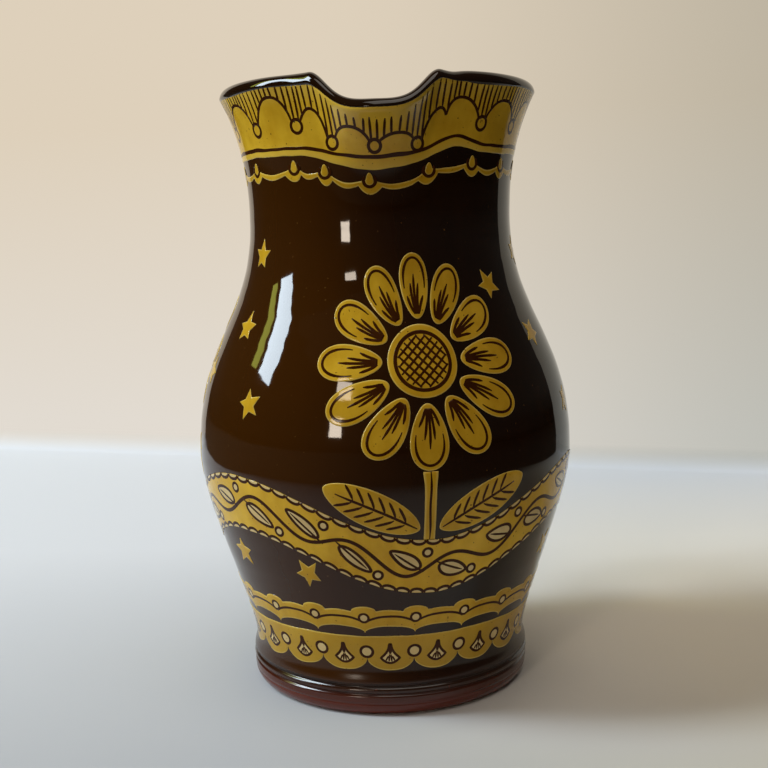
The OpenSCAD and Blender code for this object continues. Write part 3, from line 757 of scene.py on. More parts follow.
# One drop is bare: its arches meet in a point at this height, with this half gap
BARE_DROP, BARE_Z, BARE_GAP = 10, BAND_EDGE_SIDE + 8.9, 0.1
# Rings at the other drops: radius, less at the lip, level and its dip round the lip, and where on the ring
# the arches spring from it, as shares of its radius
DROP_R, DROP_R_LESS = 1.75, 0.2
DROP_OVER, DROP_DIP, DROP_DIP_FADE = 7.4, 6.3, (10, 21)
SPRING_OUT, SPRING_UP = 0.75, 0.6
# Widths of the lines along arches, rings and band, and how far a fill stays inside its ring
ARCH_W, DROP_W, BAND_LINE_W, FILL_INSET = 0.85, 0.95, 1, 0.2
drop_r = DROP_R - DROP_R_LESS * lip_level(DROPS)


def drop_z(a):
    """Height of the small rings that hang between the arches: level, lower round the lip."""
    return BAND_EDGE_SIDE + DROP_OVER - DROP_DIP * (1 - ease(np.abs(a), *DROP_DIP_FADE))


is_ring = np.arange(len(DROPS)) != BARE_DROP
arch_foot_z = np.where(is_ring, drop_z(DROPS) + SPRING_UP * drop_r, BARE_Z)
arch_foot_in = np.where(is_ring, SPRING_OUT * drop_r, BARE_GAP) / per_degree(DROPS, drop_z(DROPS))
arch_starts, arch_stops = DROPS[:-1] + arch_foot_in[:-1], DROPS[1:] - arch_foot_in[1:]


def arch_z(a):
    """Height of the drawn arches: from ring to ring, each a rounded bow of its own rise and lean."""
    k = np.clip(np.searchsorted(DROPS, a) - 1, 0, len(ARCH_RISE) - 1)
    x = np.clip((a - arch_starts[k]) / (arch_stops[k] - arch_starts[k]), 0, 1)
    lean = x ** (math.log(0.5) / np.log(ARCH_PEAK[k]))
    return arch_foot_z[k] * (1 - x) + arch_foot_z[k + 1] * x + ARCH_RISE[k] * bow(lean, *ARCH_BOW)


arch_share = ARCH_MARGIN + (1 - 2 * ARCH_MARGIN) * ease(np.linspace(0, 1, 40))
arch_a = arch_starts[:, None] + (arch_stops - arch_starts)[:, None] * arch_share
drop_rings = path(DROPS, drop_z(DROPS))[is_ring]

# Hatching from the arches up to the rim: spacing and stray in degrees, then how far it runs past the arch
# and under the dark edge, its upper end, uneven and lower at the lip, its least length and its lean
HATCH_STEP, HATCH_STRAY, STRAY_PACE = 2.3, 0.35, 2.3
HATCH_PAST, HATCH_TUCK, HATCH_OVER, HATCH_LIP = 0.1, 0.4, 0.6, 2.6
HATCH_UNEVEN, UNEVEN_PACE, HATCH_LEAST, HATCH_LEAN, HATCH_W = 0.3, 5.1, 0.8, 0.25, 0.74
even_a = np.arange(DROPS[0] + 1, DROPS[-1] - 1, HATCH_STEP)
hatch_a = even_a + HATCH_STRAY * np.sin(even_a * STRAY_PACE)
hatch_low = arch_z(hatch_a) - HATCH_PAST
hatch_high = np.minimum(rim_start_z(hatch_a) + HATCH_TUCK,
                        edge_z(hatch_a) + HATCH_OVER - HATCH_LIP * lip_level(hatch_a)
                        + HATCH_UNEVEN * np.sin(hatch_a * UNEVEN_PACE))
long_enough = hatch_high - hatch_low > HATCH_LEAST
kept_a, kept_low, kept_high = [row[long_enough, None] for row in (hatch_a, hatch_low, hatch_high)]
hatch_share = np.linspace(0, 1, 10)
hatch_lines = path(kept_a + HATCH_LEAN * np.sin(kept_a) * hatch_share,
                   kept_low + (kept_high - kept_low) * hatch_share)
line_a = round_jug(720)
put_mesh("collar_drawn_lines", [
    strokes(path(arch_a, arch_z(arch_a)), ARCH_W, taper=0.8), strokes(hatch_lines, HATCH_W, taper=0.45),
    strokes(rings_at(drop_rings, drop_r[is_ring]), DROP_W, closed=True),
    strokes(path(line_a, band_line(line_a))[None], BAND_LINE_W + hand(line_a, 3, 0.1), closed=True)],
    CUT_LINE)
put_mesh("collar_ring_fills", [patches(rings_at(drop_rings, drop_r[is_ring] - FILL_INSET), SLIP_T, FILL_T)],
         PAINTED_LIGHT_SLIP)


# Lace under the band, with a bead in each cusp
LACE_COUNT, ROOT_ANGLE = 18, 24
# Strays from an even lace, as size, place and width in degrees
LACE_STRAYS = ((4.6, -39, 8), (-4, -5, 15))
# Lower edge midway between beads: drop from the lace's top, and shares of the band's dip and lift
LACE_DROP, LACE_DIP, LACE_LIFT = 2.95, 0.9, 0.6
# Bows: half width of the one under a bead in repeats, rise of the points, depth, thickness and swag
CUSP_HALF, POINT_RISE, CUSP_D, LACE_W, SWAG_H = 0.2, 1.1, 1.9, 1.6, 1.9
# Beads: radius, place over the lace, narrowing and stretch of the drop's top, how far they stand off the
# coat, and the gap, turn in degrees and line width of the cup drawn under each
BEAD_R, BEAD_OVER, BEAD_NARROW, BEAD_STRETCH, BEAD_BASE = 1.25, 2.9, 0.16, 1.6, 0.06
CUP_GAP, CUP_TURN, CUP_W = 0.36, (-225, 45), 0.95


def lace_drift(a):
    """Degrees by which the hand strayed from an even lace: a bell to the right at one bead and a wider one
    to the left at the lip."""
    return sum(size * bell(a, at, width) for size, at, width in LACE_STRAYS)


def lace_x(a):
    """Place within a repeat of the lace: 0 at a bead, rising to 0.5 midway to the next."""
    even = a - lace_drift(a - lace_drift(a - lace_drift(a)))
    return np.abs((even * LACE_COUNT / 360 + 0.5) % 1 - 0.5)


def lace_base(a):
    """Height of the lace's lower edge midway between beads."""
    return LACE_HI - LACE_DROP - BAND_DIP * LACE_DIP * dip(a) + LACE_LIFT * lift(a) + hand(a, 4, 0.1)


def lace_low(a):
    """Lower edge: a deep bow under each bead and a shallow one between, both squares, meeting in points."""
    x = lace_x(a)
    under_bead = POINT_RISE - CUSP_D * (1 - (x / CUSP_HALF) ** 2)
    between = POINT_RISE * ((0.5 - x) / (0.5 - CUSP_HALF)) ** 2
    return lace_base(a) + np.where(x < CUSP_HALF, under_bead, between)


def lace_high(a):
    """Upper edge: a swag from bead to bead, a square of the way from its middle."""
    return lace_base(a) + LACE_W + SWAG_H * (1 - 2 * lace_x(a)) ** 2


put_mesh("collar_lace_slip", [ring_band(lace_low, lace_high, 4, count=1080)], PALE_SLIP,
         ["collar_lace"])
even_beads = 360 / LACE_COUNT * np.arange(LACE_COUNT) - 180
clear_beads = even_beads[np.abs(even_beads) < 180 - ROOT_ANGLE]
bead_a = (clear_beads + lace_drift(clear_beads))[:, None]
bead_z = lace_base(bead_a) + BEAD_OVER
bead_t = full_turn(32)
beads = drawn(bead_a, bead_z, BEAD_R * np.cos(bead_t) * (1 - BEAD_NARROW * (1 + np.sin(bead_t))),
              BEAD_R * np.sin(bead_t) * np.where(np.sin(bead_t) > 0, BEAD_STRETCH, 1))
cup_t = np.radians(np.linspace(*CUP_TURN, 26))
cup_r = BEAD_R + CUP_GAP
cups = drawn(bead_a, bead_z, cup_r * np.cos(cup_t), cup_r * np.sin(cup_t))
put_mesh("collar_bead_drops", [patches(beads, BEAD_BASE, shoulder=0.6)], PALE_SLIP,
         ["collar_beads"])
put_mesh("collar_bead_lines", [strokes(cups, CUP_W, taper=0.5)], CUT_LINE)


# Ribbon round the belly, with a lens edging and a running leaf pattern
SWAGS, SWAG_A = 3, 12
RIBBON_Z, RIBBON_W = (RIBBON_LO + RIBBON_HI) / 2, 16.0
SWAG_D = (RIBBON_HI - RIBBON_LO - RIBBON_W) / 2
# Lenses along both edges: count, depth, share of a repeat at which each starts, way in from the edge of
# its bow's ends and of its straight side, and line width
LENS_COUNT, LENS_D, LENS_START, LENS_IN, LENS_SIDE_IN, LENS_LINE_W = 81, 1.15, 0.03, 0.1, 0.12, 0.92


def ribbon_mid(a):
    """Middle of the ribbon: a cosine wave of three swags, lowest under each flower."""
    return RIBBON_Z - SWAG_D * np.cos(np.radians(SWAGS * (a - SWAG_A)))


def ribbon_low(a):
    """Lower edge of the ribbon."""
    return ribbon_mid(a) - RIBBON_W / 2 + hand(a, 5)


def ribbon_high(a):
    """Upper edge of the ribbon."""
    return ribbon_mid(a) + RIBBON_W / 2 + hand(a, 6)


# The ribbon takes the slip painted brighter: painted light on the ribbon
put_mesh("ribbon_band_slip", [ring_band(ribbon_low, ribbon_high, 12, count=540)], PAINTED_LIGHT_SLIP,
         ["ribbon_band"])

lens_share = np.linspace(LENS_START, 1 - LENS_START, 18)
lens_a = 360 / LENS_COUNT * (np.arange(LENS_COUNT)[:, None] + lens_share) - 180
lens_bow = LENS_D * bow(np.linspace(0, 1, 18))
ribbon_lines, ribbon_fills = [], []
for edge, inward in ((ribbon_high, -1), (ribbon_low, 1)):
    bows = path(lens_a, edge(lens_a) + inward * (LENS_IN + lens_bow))
    straight = path(lens_a, edge(lens_a) + inward * LENS_SIDE_IN)
    outline = np.concatenate([bows, straight[:, -2:0:-1]], 1)
    ribbon_lines.append(strokes(bows, LENS_LINE_W, taper=0.9))
    ribbon_fills.append(patches(outline[:, ::-inward], SLIP_T, FILL_T, shoulder=0.4))

# Running stem, and in each of its hollows a leaf with a rib and a berry past it: sizes, tilt and places
VINE_WAVES, VINE_D, VINE_W = 12, 3.0, 1.1
LEAF_L, LEAF_W, LEAF_SHARP, LEAF_LEAN, LEAF_LINE_W = 9.0, 4.0, 0.25, -0.25, 0.92
LEAF_TILT, LEAF_ASIDE, LEAF_OUT = math.radians(24), 0.6, 1.9
RIB_FROM, RIB_TO, RIB_W = (-LEAF_L / 2 - 1.6, -0.9), (LEAF_L / 2 - 1.2, 0.05), 0.7
BERRY_PAST, BERRY_OUT, BERRY_R, BERRY_FILL_R, BERRY_W = 7.2, 4.3, 1.2, 0.95, 0.82


def vine_v(a):
    """Height of the running stem over the ribbon's middle: an even wave."""
    return VINE_D * np.sin(np.radians(VINE_WAVES * (a - SWAG_A)))


def in_ribbon(a, u, v):
    """Point (u, v) of a drawing centred at angle a in the ribbon, carried along the ribbon's slope."""
    there = a + u / per_degree(a, RIBBON_Z)
    return path(there, ribbon_mid(there) + v)


vine_a = round_jug(720)
vine = path(vine_a, ribbon_mid(vine_a) + vine_v(vine_a))[None]
half_waves = np.arange(2 * VINE_WAVES)
hollow_a = SWAG_A + (half_waves + 0.5) * 180 / VINE_WAVES
hollow_side = np.where(half_waves % 2 == 0, -1.0, 1.0)


def vine_leaf(u, v):
    """Points of a leaf drawing turned by the leaf's tilt and set in every hollow of the stem."""
    c, s = math.cos(LEAF_TILT), math.sin(LEAF_TILT)
    side = hollow_side[:, None]
    return in_ribbon(hollow_a[:, None], -side * (u * c - v * s) + LEAF_ASIDE,
                     side * (u * s + v * c + LEAF_OUT))


leaves = vine_leaf(*leaf_outline(full_turn(48), LEAF_L, LEAF_W, LEAF_SHARP, LEAF_LEAN))
ribs = vine_leaf(*np.linspace(RIB_FROM, RIB_TO, 16).T)
berries = in_ribbon(hollow_a + BERRY_PAST, 0, hollow_side * BERRY_OUT)
ribbon_lines += [strokes(vine, VINE_W, closed=True), strokes(leaves, LEAF_LINE_W, closed=True),
                 strokes(ribs, RIB_W), strokes(rings_at(berries, BERRY_R), BERRY_W, closed=True)]
ribbon_fills += [patches(leaves[:, ::-1], SLIP_T, FILL_T),
                 patches(rings_at(berries, BERRY_FILL_R), SLIP_T, FILL_T)]
put_mesh("ribbon_drawn_lines", ribbon_lines, CUT_LINE)
put_mesh("ribbon_pale_fills", ribbon_fills, THIN_SLIP)


# Flowers: eye, petals, stem and leaves
FLOWERS_A = SWAG_A + 360 / SWAGS * np.arange(SWAGS)
FLOWER_Z, EYE_R = (EYES_LO + EYES_HI) / 2, (EYES_HI - EYES_LO) / 2
FLOWER_R = (PETALS_HI - PETALS_LO) / 2
# Petals: count, gap round the eye, share of their length at which neighbours clear each other, and lean
PETALS, EYE_GAP, PETAL_CLEAR, PETAL_LEAN = 12, 1.2, 0.55, 0.25
PETAL_IN = EYE_R + EYE_GAP
PETAL_L = FLOWER_R - PETAL_IN
PETAL_W = 2 * (PETAL_IN + PETAL_L * PETAL_CLEAR) * math.sin(math.pi / PETALS) - EYE_GAP
PETAL_MID = PETAL_IN + PETAL_L / 2
petal_turn = 2 * np.pi / PETALS * np.arange(PETALS)[:, None]
eye_t = full_turn(72)


def at_flowers(u, v):
    """Drawings (copies, n) in millimetres about a flower's middle, set on every flower."""
    spots = drawn(FLOWERS_A[:, None, None], FLOWER_Z, u[None], v[None])
    return spots.reshape(-1, u.shape[-1], 2)


def petal(out, across):
    """Points (out from the flower's middle, across the petal), turned to every petal of every flower."""
    c, s = np.cos(petal_turn), np.sin(petal_turn)
    return at_flowers(out * c - across * s, out * s + across * c)


def eye_circle(r):
    """Circle round the middle of every flower."""
    return at_flowers(r * np.cos(eye_t)[None], r * np.sin(eye_t)[None])


petal_along, petal_across = leaf_outline(full_turn(64), PETAL_L, PETAL_W, lean=PETAL_LEAN)
put_mesh("flower_petals_slip", [patches(petal(PETAL_MID + petal_along, petal_across))], PALE_SLIP,
         ["flower_petals"])
put_mesh("flower_eyes_slip", [patches(eye_circle(EYE_R))], PALE_SLIP, ["flower_eyes"])

# Lines on a petal: a fan as (place across, share of its length), its start, spread and waver, then a bow
# inside the petal's end as degrees round it and shares of its length and width
PETAL_FAN = ((0, 0.6), (-1, 0.46), (1, 0.46), (-2, 0.27), (2, 0.27))
FAN_START, FAN_FOOT, FAN_SPREAD, FAN_WAVER, FAN_PACE = 1.3, 0.035, 0.1, 0.2, 3
BOW_TURN, BOW_L, BOW_W, PETAL_LINE_W = 96, 0.84, 0.72, 0.76
# Lattice and ring on the eye, as shares of its radius, with their line widths
LATTICE_R, LATTICE_STEP, LATTICE_W = 0.71 * EYE_R, 0.19 * EYE_R, 0.66
EYE_RING_R, EYE_RING_W = 0.78 * EYE_R, 1
line_share = np.linspace(0, 1, 20)
petal_lines = [petal(PETAL_IN + FAN_START + PETAL_L * length * line_share,
                     spread * PETAL_W * (FAN_FOOT + FAN_SPREAD * line_share)
                     + FAN_WAVER * np.sin(FAN_PACE * line_share)) for spread, length in PETAL_FAN]
bow_along, bow_across = leaf_outline(np.radians(np.linspace(-BOW_TURN, BOW_TURN, 40)), BOW_L * PETAL_L,
                                     BOW_W * PETAL_W, lean=PETAL_LEAN)
petal_lines.append(petal(PETAL_MID + bow_along, bow_across))
lattice = np.arange(-3, 4)[:, None] * LATTICE_STEP
chord = np.sqrt(LATTICE_R ** 2 - lattice ** 2) * np.linspace(-1, 1, 14)
diagonal = math.sqrt(0.5)
eye_lines = np.concatenate([at_flowers((chord - lattice) * diagonal, (chord + lattice) * diagonal),
                            at_flowers((chord + lattice) * diagonal, (lattice - chord) * diagonal)])

# Stem, from just under the petals to the ribbon's dip: width, flare at its top, end gaps and its line
STEM_W, STEM_FLARE, FLARE_SHARE, STEM_GAP = 3.0, 0.25, 0.15, 0.15
STEM_WAVER, STEM_PACE, STEM_LINE_W = 0.1, 9, 0.7
STEM_TOP = FLOWER_Z - FLOWER_R - STEM_GAP
DIP_TOP = RIBBON_Z - SWAG_D + RIBBON_W / 2
stem_t = np.linspace(0, 1, 30)
stem_v = (STEM_TOP - FLOWER_Z - (STEM_TOP - DIP_TOP - STEM_GAP) * stem_t)[None]
stem_half = (STEM_W / 2 * (1 + STEM_FLARE * bell(stem_t, 0, FLARE_SHARE)))[None]
put_mesh("flower_stems_slip", [strip(at_flowers(-stem_half, stem_v), at_flowers(stem_half, stem_v))],
         PALE_SLIP, ["flower_stems"])

# Leaves beside the stem: size, place, and a slant that follows the ribbon's rise under the leaf
BIG_LEAF_L, BIG_LEAF_W, BIG_LEAF_SHARP = 26.0, 10.0, 0.2
LEAF_GAP, LEAF_FOOT, LEAF_CLEAR = 1.0, 3.0, 0.44
# Degrees of ribbon under a leaf as long as the belly's radius
LEAF_SPAN = 52
SWAG_RISE = SWAG_D * (1 - math.cos(math.radians(SWAGS * LEAF_SPAN * BIG_LEAF_L / BELLY_R)))
BIG_LEAF_RISE = math.atan((SWAG_RISE + LEAF_CLEAR * (STEM_TOP - DIP_TOP)) / BIG_LEAF_L)
# Lines on a leaf, in shares of its length and half width: midrib, then pairs of curved side veins
MIDRIB_FROM, MIDRIB_L, MIDRIB_WAVER, MIDRIB_PACE = 0.03, 0.84, 0.3, 4
VEINS, VEIN_L, VEIN_MID = np.linspace(0.16, 0.7, 6), 0.13, 0.08
VEIN_OUT, VEIN_GAP, VEIN_CURVE = 0.72, 0.3, 0.8


def big_leaf(along, across):
    """Points (along, across) of a leaf drawing, raised by its slant, at both sides of every stem."""
    c, s = math.cos(BIG_LEAF_RISE), math.sin(BIG_LEAF_RISE)
    u = STEM_W / 2 + LEAF_GAP + along * c - across * s
    v = DIP_TOP + LEAF_FOOT - FLOWER_Z + along * s + across * c
    return at_flowers(np.stack([u, -u[::-1]]), np.stack([v, v[::-1]]))


leaf_along, leaf_across = leaf_outline(full_turn(72) - np.pi, BIG_LEAF_L, BIG_LEAF_W, BIG_LEAF_SHARP)
put_mesh("flower_leaves_slip", [patches(big_leaf(BIG_LEAF_L / 2 + leaf_along, leaf_across))], PALE_SLIP,
         ["flower_leaves"])
leaf_lines = [big_leaf(BIG_LEAF_L * (MIDRIB_FROM + MIDRIB_L * line_share),
                       MIDRIB_WAVER * np.sin(MIDRIB_PACE * line_share))]
for start in VEINS:
    reach = VEIN_OUT * BIG_LEAF_W / 2 * bow(start + VEIN_MID)
    leaf_lines += [big_leaf(BIG_LEAF_L * (start + VEIN_L * line_share),
                            way * (VEIN_GAP + reach * line_share ** VEIN_CURVE)) for way in (-1, 1)]
stem_line = at_flowers(STEM_WAVER * np.sin(STEM_PACE * stem_t)[None], stem_v)
put_mesh("flower_drawn_lines", [strokes(line, PETAL_LINE_W) for line in petal_lines] + [
    strokes(eye_lines, LATTICE_W, taper=0.7), strokes(eye_circle(EYE_RING_R), EYE_RING_W, closed=True),
    strokes(stem_line, STEM_LINE_W)] + [strokes(line, PETAL_LINE_W) for line in leaf_lines],
    CUT_LINE)


# Stars on the dark ground, as angle and share of the way up the field over or under the ribbon
STARS_ABOVE = np.array([
    [-57, 0.75], [-55, 0.50], [-43, 0.25], [45, 0.66], [73, 0.20], [-74, 0.38], [76, 0.74], [62, 0.46],
    [92, 0.16], [-80, 0.14], [-146, 0.40], [-162, 0.76], [162, 0.72]])
STARS_BELOW = np.array([[-54, 0.62], [-26, 0.62], [66, 0.5], [100, 0.55], [172, 0.55]])
# Points and notches: radius, the notches' share of it, how unevenly points reach and turn, and the steps
# from star to star and from tip to tip that set this apart
STAR_R, NOTCH_SHARE, POINT_UNEVEN, TURN_UNEVEN = 4.3, 0.48, 0.1, 5
STAR_STEP, REACH_STEP, TURN_STEP = 3, 2.3, 4.1
FIELD_DROP = 3.5


def field_top(a):
    """Plain line under the lace, up to which the upper stars' field reaches."""
    return LACE_HI - FIELD_DROP - BAND_DIP * dip(a)


above_a, above = STARS_ABOVE.T
below_a, below = STARS_BELOW.T
above_low = RIBBON_W / 2 + ribbon_mid(above_a)
below_top = ribbon_mid(below_a) - RIBBON_W / 2
star_a = np.concatenate([above_a, below_a])[:, None]
star_z = np.concatenate([above_low + above * (field_top(above_a) - above_low),
                         EDGING_HI + below * (below_top - EDGING_HI)])[:, None]
tip = np.arange(10)
tip_r = STAR_R * np.where(tip % 2 == 0, 1 + POINT_UNEVEN * np.sin(star_a * STAR_STEP + tip * REACH_STEP),
                          NOTCH_SHARE)
tip_t = np.radians(36 * tip + star_a + TURN_UNEVEN * np.sin(star_a + tip * TURN_STEP))
tip_uv = np.stack([tip_r * np.cos(tip_t), tip_r * np.sin(tip_t)], -1)[:, :, None]
side_share = np.linspace(0, 1, 7)[:-1, None]
star_uv = tip_uv * (1 - side_share) + np.roll(tip_uv, -1, 1) * side_share
star_u, star_v = np.moveaxis(star_uv.reshape(len(star_a), -1, 2), -1, 0)
put_mesh("scattered_stars_slip", [patches(drawn(star_a, star_z, star_u, star_v))], PALE_SLIP,
         ["stars"])


# Foot: arched edging over a scalloped band
SCALLOPS = 20
REPEAT = 360 / SCALLOPS
EDGING_ARCH, SCALLOP_D = 2.0, 3.8
# Edging's upper edge: its drop under the top, then height and half width, in repeats, of bump and bow
EDGING_DROP, BUMP_H, BUMP_HALF, BETWEEN_H, BETWEEN_HALF = 1.6, 1.5, 0.24, 0.4, 0.26


def cusp_x(a):
    """Place within a repeat: 0 at a cusp, rising to 0.5 midway to the next."""
    return np.abs((a / REPEAT) % 1 - 0.5)


def edging_low(a):
    """Lower edge of the edging: round arches from cusp to cusp."""
    return EDGING_LO + EDGING_ARCH * bow(cusp_x(a)) + hand(a, 7, 0.06)


def edging_high(a):
    """Upper edge of the edging: a round bump over each cusp and a shallow bow between."""
    x = cusp_x(a)
    bump = BUMP_H * np.sqrt(np.clip(1 - (x / BUMP_HALF) ** 2, 0, 1))
    between = BETWEEN_H * np.clip(1 - ((0.5 - x) / BETWEEN_HALF) ** 2, 0, 1)
    return EDGING_HI - EDGING_DROP + np.where(x < BUMP_HALF, bump, between) + hand(a, 8, 0.08)


def scallop_low(a):
    """Lower edge of the foot band: round scallops between notches."""
    return FOOT_BAND_LO + SCALLOP_D * (1 - bow(cusp_x(a))) + hand(a, 9, 0.08)


def scallop_high(a):
    """Upper edge of the foot band: level, drawn by hand."""
    return FOOT_BAND_HI + hand(a, 10, 0.08)


put_mesh("foot_edging_slip", [ring_band(edging_low, edging_high, 5, count=1080)], PALE_SLIP,
         ["foot_edging"])
put_mesh("foot_band_slip", [ring_band(scallop_low, scallop_high, 8, count=1080)], PALE_SLIP,
         ["foot_band"])

# Lines and rings on the edging, over its lower edge
ARCH_LINE_Z, ARCH_LINE_RISE, ARCH_LINE_BOW, ARCH_LINE_W = EDGING_LO + 3.2, 2.1, (2.2, 0.8), 0.75
SMALL_RING_Z, SMALL_RING_R, SMALL_FILL_R, SMALL_RING_W = EDGING_LO + 4.9, 1.3, 1.1, 0.75
# Rings in the cusps of the foot band, and bells between them with a spire above, over its lower edge
BIG_RING_Z, BIG_RING_R, BIG_FILL_R, BIG_RING_W = FOOT_BAND_LO + 5.9, 1.68, 1.4, 0.85
BELL_Z, BELL_RISE, BELL_DROP, BELL_HALF, BELL_LINE_W = FOOT_BAND_LO + 3.9, 4.3, 1.6, 2.6, 0.8
BELL_NECK, BELL_FLARE = 0.1, 2.2
SPIRE_FROM, SPIRE_H, SPIRE_W, SPIRE_THIN = 1.2, 3.2, 1.2, 0.6
# Hatching in a bell: places across, level of its top and foot at the middle, their slopes, spread and width
HATCH_U = np.array([-1.25, -0.4, 0.4, 1.25])[:, None]
BELL_HATCH_TOP, BELL_HATCH_LOW, HATCH_TOP_SLOPE, HATCH_LOW_SLOPE = 1.4, -1.3, -0.7, 0.3
HATCH_NECK, BELL_HATCH_W = 0.45, 0.56
cusps_a = REPEAT * (np.arange(SCALLOPS) + 0.5)
bells_a = (cusps_a + REPEAT / 2 + hand(cusps_a, 14, 0.3))[:, None]
arch_line_x = np.linspace(0.015, 0.985, 30)
arch_line_a = cusps_a[:, None] + REPEAT * arch_line_x
arch_lines = path(arch_line_a, ARCH_LINE_Z + ARCH_LINE_RISE * bow(arch_line_x, *ARCH_LINE_BOW)
                  + hand(arch_line_a, 11, 0.06))
small_rings = path(cusps_a, SMALL_RING_Z + hand(cusps_a, 12, 0.1))
big_rings = path(cusps_a, BIG_RING_Z + hand(cusps_a, 13, 0.12))
bell_share = np.linspace(0, 1, 20)
flare = BELL_HALF * (BELL_NECK + (1 - BELL_NECK) * bell_share ** BELL_FLARE)
bell_side = BELL_RISE * (1 - bell_share)
sweep = np.linspace(1, -1, 18)[1:-1]
bells = drawn(bells_a, BELL_Z, np.concatenate([-flare, -BELL_HALF * sweep, flare[::-1]]),
              np.concatenate([bell_side, BELL_DROP * (sweep ** 2 - 1), bell_side[::-1]]))
run = np.linspace(0, 1, 8)
bell_hatch_top = BELL_HATCH_TOP + HATCH_TOP_SLOPE * np.abs(HATCH_U)
bell_hatch_low = BELL_HATCH_LOW + HATCH_LOW_SLOPE * np.abs(HATCH_U)
bell_hatch = drawn(bells_a[:, None], BELL_Z, HATCH_U * (HATCH_NECK + (1 - HATCH_NECK) * run),
                   bell_hatch_top + (bell_hatch_low - bell_hatch_top) * run).reshape(-1, len(run), 2)
spires = drawn(bells_a, BELL_Z, 0 * run, SPIRE_FROM + SPIRE_H * run)
put_mesh("foot_drawn_lines", [
    strokes(arch_lines, ARCH_LINE_W, taper=0.9),
    strokes(rings_at(small_rings, SMALL_RING_R), SMALL_RING_W, closed=True),
    strokes(rings_at(big_rings, BIG_RING_R), BIG_RING_W, closed=True),
    strokes(bells, BELL_LINE_W, closed=True), strokes(bell_hatch, BELL_HATCH_W),
    strokes(spires, SPIRE_W - SPIRE_THIN * run)], CUT_LINE)
put_mesh("foot_pale_fills", [patches(rings_at(small_rings, SMALL_FILL_R), SLIP_T, FILL_T),
                             patches(rings_at(big_rings, BIG_FILL_R), SLIP_T, FILL_T),
                             patches(bells, SLIP_T, FILL_T, shoulder=0.3)], THIN_SLIP)


# Handle: a pulled strap, luted on at collar and belly
HANDLE_W, HANDLE_T, STRAP_SQUARE = 23.0, 9.0, 0.8
HANDLE_REACH, TOP_REACH, HANDLE_LIFT, ROOT_SINK = 46.0, 0.9, 20.0, 1
# Swelling at the upper and lower root, its fade along the strap, and how much the strap thins downwards
TOP_SWELL, LOW_SWELL, ROOT_FADE, STRAP_THIN = 0.16, 0.1, 0.08, 0.22
# Thumb groove and the ridges beside it: depth or height, place and width
THUMB_D, THUMB_W = 0.55, 3.2
RIDGE_H, RIDGE_AT, RIDGE_W = 0.25, 6.2, 1.6


def handle_root(z):
    """Point of the handle's path just inside the clay at a height, as (radius behind the jug, height)."""
    return np.array([wall_r(180, z) - COAT_T - ROOT_SINK, z])


root_top, root_low = handle_root(HANDLE_TOP_Z), handle_root(HANDLE_LOW_Z)
HANDLE_CAGE = np.array([root_top, root_top + [TOP_REACH * HANDLE_REACH, HANDLE_LIFT],
                        root_low + [HANDLE_REACH, HANDLE_LIFT / 2], root_low])


def handle_points(t, b):
    """Strap surface: a cubic path in the plane behind the jug carries a rounded oblong section, swollen at
    both roots and thinning downwards, with a shallow thumb groove and ridges along its outer face."""
    q = 1 - t
    slopes = np.stack([-q * q, q * q - 2 * q * t, 2 * q * t - t * t, t * t], -1)
    mid, along = cubic(t) @ HANDLE_CAGE, slopes @ HANDLE_CAGE
    along = along / np.linalg.norm(along, axis=-1, keepdims=True)
    out = np.stack([-along[..., 1], along[..., 0]], -1)
    swell = 1 + TOP_SWELL * bell(t, 0, ROOT_FADE) + LOW_SWELL * bell(t, 1, ROOT_FADE)
    size = (swell * (1 - STRAP_THIN * t))[:, None]
    c, s = np.cos(b), np.sin(b)
    u = HANDLE_W / 2 * size * np.sign(c) * np.abs(c) ** STRAP_SQUARE
    v = HANDLE_T / 2 * size * np.sign(s) * np.abs(s) ** STRAP_SQUARE
    worn = THUMB_D * bell(u, 0, THUMB_W) - RIDGE_H * bell(np.abs(u), RIDGE_AT, RIDGE_W)
    v = v - worn * np.sqrt(np.clip(s, 0, 1))
    return np.stack([u, mid[:, :1] + v * out[:, :1], mid[:, 1:] + v * out[:, 1:]], -1)


handle_b = full_turn(72)
strap = handle_points(np.linspace(0, 1, 150), handle_b)
strap_skin, strap_quads = grid(strap, False, True)[:2]
section = np.arange(len(handle_b))
section_next = np.roll(section, -1)
last = len(strap_skin) - len(handle_b)
caps = [triangles(len(strap_skin), section, section_next),
        triangles(len(strap_skin) + 1, last + section_next, last + section)]
strap_points = np.concatenate([strap_skin, strap[[0, -1]].mean(1)])
put_mesh("handle_strap", [(strap_points, strap_quads + caps, np.zeros(len(strap_points)))], DARK_SLIP,
         ["handle"])

# Luting skirts: how far the edge and the corner stand off the wall, growth of the corner's outline, depth
# of the hidden back, and the share to which the hidden outlines shrink
LUTE_OFF, CORNER_OFF, CORNER_GROW, LUTE_SINK, LUTE_SHRINK = 0.1, 0.6, 1.04, 0.6, 0.8
# Each luting: piece, share of the strap where it starts, share where the strap meets the wall, its margin
# on the wall, and the node it stands for
LUTES = (("upper_luting_clay", 0.075, 0.02, 3.2, "upper_lute"),
         ("lower_luting_clay", 0.93, 0.985, 4.6, "lower_lute"))


def behind_wall(points, d):
    """Points moved straight back onto the wall behind the jug, d off it."""
    x, z = points[:, 0], points[:, 2]
    return np.stack([x, np.sqrt((wall_r(180, z) + d) ** 2 - x ** 2), z], -1)


